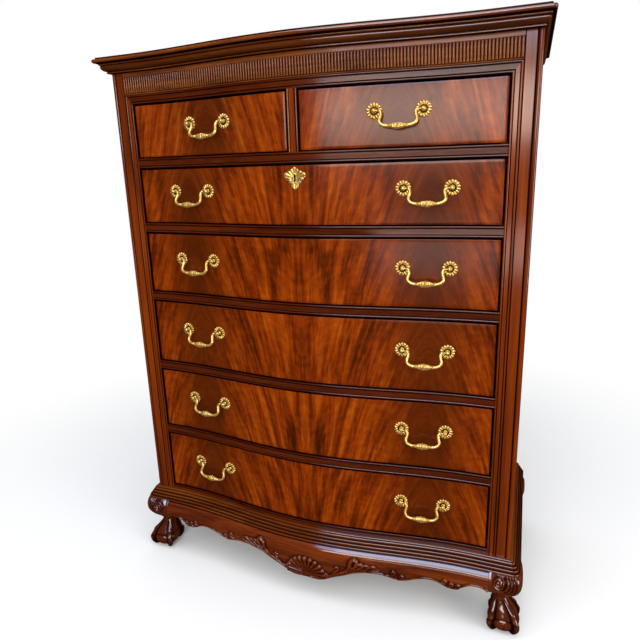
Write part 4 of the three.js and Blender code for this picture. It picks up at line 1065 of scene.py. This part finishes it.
def bail_skin():
    """The bail round its own axis: a path in the plane that hangs and leans forward, from one eye
    down the swan-neck arm, along the grip and back up. Ring by ring the radius grows from the thin
    pin through the arm and two collars to a ribbed leaf on the grip."""
    half_x = [48.3, 45, 41.2, 38, 36.0, 35.2, 35.4, 36.6, 37.7, 37.4, 34.9, 30.2, 23.5, 12.8, 0]
    half_w = [0, 0, 0.1, 1.0, 3.2, 6.6, 10.6, 15, 19.6, 24, 28, 31, 32.8, 33.2, 33.2]
    steps = np.arange(15.0)
    fine = np.linspace(0, 14, 90)
    x = smooth_through(steps, half_x, fine)
    w = smooth_through(steps, half_w, fine)
    x, w = np.concatenate([x, -x[-2::-1]]), np.concatenate([w, w[-2::-1]])
    length = np.concatenate([[0], np.cumsum(np.hypot(np.diff(x), np.diff(w)))])
    even = np.linspace(0, length[-1], 200)
    x, w = np.interp(even, length, x), np.interp(even, length, w)
    dx, dw = np.gradient(x), np.gradient(w)
    size = np.hypot(dx, dw)
    across = np.stack([-dw / size, dx / size], 1)
    from_end = np.minimum(even, length[-1] - even)
    off = np.abs(x) / 16
    radius = 1.7 + 1.5 * np.clip((from_end - 6) / 4, 0, 1)
    low = (w > 30).astype(float)
    leaf = np.clip(1 - off ** 2, 0, 1) ** 0.8 * 3.2 * low
    collar = 1.1 * low * (bell(np.abs(x) - 17.4, 0.9) + 0.8 * bell(np.abs(x) - 20, 0.7))
    middle_ring = 0.5 * bell(x, 1.2) * low
    turn = 2 * pi * np.arange(28) / 28
    ribs = 1 + 0.08 * (leaf / 3)[:, None] * np.cos(8 * turn) * (1 + 0.4 * np.cos(pi * x / 4))[:, None]
    scallop = 1 + 0.06 * (leaf / 3) * np.cos(2 * pi * x / 5.2)
    radius = (radius + leaf + collar + middle_ring)[:, None] * ribs * scallop[:, None]
    hang, lean = 31 / 33.24, 12 / 33.24  # it leans 12 mm forward where it hangs 31 mm down
    side, out = radius * np.cos(turn), radius * np.sin(turn) * (1 - 0.18 * (leaf / 3)[:, None])
    px = x[:, None] + side * across[:, :1]
    pw = w[:, None] + side * across[:, 1:]
    points = np.stack([px, -pw * lean - out * hang - EYE_OUT, -pw * hang + out * lean], -1)
    dark = np.clip(0.4 * (leaf / 3)[:, None] * (-np.cos(8 * turn)), 0, 0.4)
    dark = dark + 0.55 * (bell(np.abs(x) - 18.7, 0.5) * low)[:, None]
    # The bail is darker near its two ends, where they enter the eyes.
    dark = dark + 0.3 * (from_end < 8)[:, None]
    return skin(points), dark


bail_part, bail_dark = bail_skin()


def add_pull(name, drawer, row, centre):
    """Sets a pull on the chord between its two posts, turned with the bowed front, which is taken
    there as sixteen straight lengths, as the joint that the bail swings on has it."""
    knots = np.linspace(-CASE, CASE, 17)
    ends = FACE_Y - np.interp([centre - SPACING / 2, centre + SPACING / 2], knots, bow(knots))
    lean = np.arctan2(ends[1] - ends[0], SPACING)
    seat = np.array([centre, ends.mean(), FLOORS[row] + HEIGHTS[row] * PULL_HEIGHT])
    spin = np.array([[np.cos(lean), np.sin(lean), 0], [-np.sin(lean), np.cos(lean), 0], [0, 0, 1]])
    for side, hand in (("left", -1), ("right", 1)):
        parts, dark = post_parts(hand)
        placed = [((points + [hand * SPACING / 2, 0, 0]) @ spin + seat, cells) for points, cells in parts]
        make(f"{name}_{side}_rosette_post", placed, brass, f"{drawer}_body", f"{name}_{side}_post", "brass",
             50, dark)
    make(f"{name}_swan_neck_bail", [(bail_part[0] @ spin + seat, bail_part[1])], brass, f"{name}_bail_body",
         f"{name}_bail", "brass", 50, bail_dark.ravel())


for row, name in enumerate(ROWS):
    for side, centre in (("left", -WIDE_PULL), ("right", WIDE_PULL)):
        add_pull(f"{name}_{side}_pull", f"{name}_drawer", row, centre)
add_pull("top_left_pull", "top_left_drawer", 5, -SMALL_PULL)
add_pull("top_right_pull", "top_right_drawer", 5, SMALL_PULL)

# Escutcheon: one thin brass casting on the second drawer, a fan of seven ribbed lobes over two
# scrolled cheeks and a leaf point, pierced by the keyhole. In the hole a nearly black sheet paints its
# shade.


def escutcheon():
    """Rings of radius and angle round the middle of the keyhole: the innermost ring is the outline
    of the keyhole, a circle over a slot, the outermost the lobed edge. Seven domed ribs fan out
    above, two curled cheeks lie below them, and a leaf with a rib ends in the point."""
    turn = 2 * pi * (np.arange(180) + 0.5) / 180
    c, s = np.cos(turn), np.sin(turn)
    marks = np.radians([-90, -76, -64, -53, -38, -20, -6, 12, 24, 40, 62, 90])
    size = [25.4, 23.4, 19.8, 16.6, 18, 19.6, 22, 27.4, 27, 22.6, 20.8, 25]
    folded = (np.where(c >= 0, turn, pi - turn) + pi) % (2 * pi) - pi
    edge = smooth_through(marks, size, np.clip(folded, -pi / 2, pi / 2))
    fan = eased((folded - radians(2)) / radians(6))
    rib = np.abs(np.cos(pi * (folded - pi / 2) / radians(22.5)))
    edge = edge * (1 - 0.09 * fan * (1 - np.sqrt(rib)) - 0.04 * (1 - fan) * np.abs(np.cos(7 * folded)))
    lobe = np.sqrt(np.clip(3.2 ** 2 - (5.4 * c) ** 2, 0, None))
    slot = np.minimum(1.9 / np.maximum(np.abs(c), 1e-3), np.where(s < 0, 8.7 / np.maximum(-s, 1e-3), 4.4))
    hole = np.where((s > 0) & (lobe > 0), 5.4 * s + lobe, slot)
    share = np.array([0, 0.05, 0.12, 0.22, 0.34, 0.46, 0.58, 0.7, 0.8, 0.88, 0.94, 0.98, 1.0])[:, None]
    radius = hole + share * (edge - hole)
    x, z = radius * c, radius * s
    leaf = bell(x, 5.5) * (z < -8) * (1 - bell(x, 0.9))
    ribbed = fan * rib ** 0.6 + (1 - fan) * (0.35 + 0.65 * np.clip(leaf, 0, 1))
    rim = dome(np.clip((share - 0.82) / 0.18, 0, 1))
    from_cheek = np.hypot(np.abs(x) - 15.5, z + 4.5)
    curl = 0.5 + 0.5 * np.cos(2 * pi * from_cheek / 4.6)
    cheek = np.exp(-(from_cheek / 6.5) ** 4) * (1 - fan)
    height = 0.8 + (0.3 + 1.5 * share ** 0.7 * ribbed) * rim + 1.3 * cheek * curl * rim
    height = np.minimum(height + 0.6 * bell(share - 0.04, 0.05), 3.0)
    front = np.stack([x, -0.3 - height, z], -1)
    back = front[::-1].copy()
    back[:, :, 1] = -0.3
    dark = (0.9 * fan * (1 - rib ** 0.5) * share ** 0.5 + 0.75 * cheek * (1 - curl)
            + 0.35 * (1 - fan) * (1 - ribbed))
    return np.concatenate([front, back, front[:1]]), np.concatenate([dark, 0 * dark])


plate, dark = escutcheon()
KEYHOLE_RISE = 36
lock_seat = np.array([0, FACE_Y - BOW_RISE, FLOORS[4] + HEIGHTS[4] / 2 + KEYHOLE_RISE])
# The last ring is the first one again, so its faces are joined to the first ring's vertices.
points, cells = skin(plate + lock_seat, capped=False)
joined = len(points) - plate.shape[1]
cells = [[i % joined for i in cell] for cell in cells]
make("pierced_escutcheon", [(points[:joined], cells)], brass, "second_drawer_body", "escutcheon", "brass",
     50, dark.ravel())

# A nearly black, matt sheet on the face inside the keyhole: painted shade of the hole.
keyhole_shade, tree, output = blank_material("keyhole_painted_shade")
shader = add(tree, "BsdfPrincipled", {"Base Color": linear("#060504"), "Roughness": 0.8,
                                      "Specular IOR Level": 0.0})
tree.links.new(shader.outputs[0], output.inputs[0])
points, cells = plank((-7, 7), (-0.28, -0.04), (-13, 6), 0.05)
make("keyhole_shade_sheet", [(points + lock_seat, cells)], keyhole_shade, "second_drawer_body", "escutcheon", "brass")
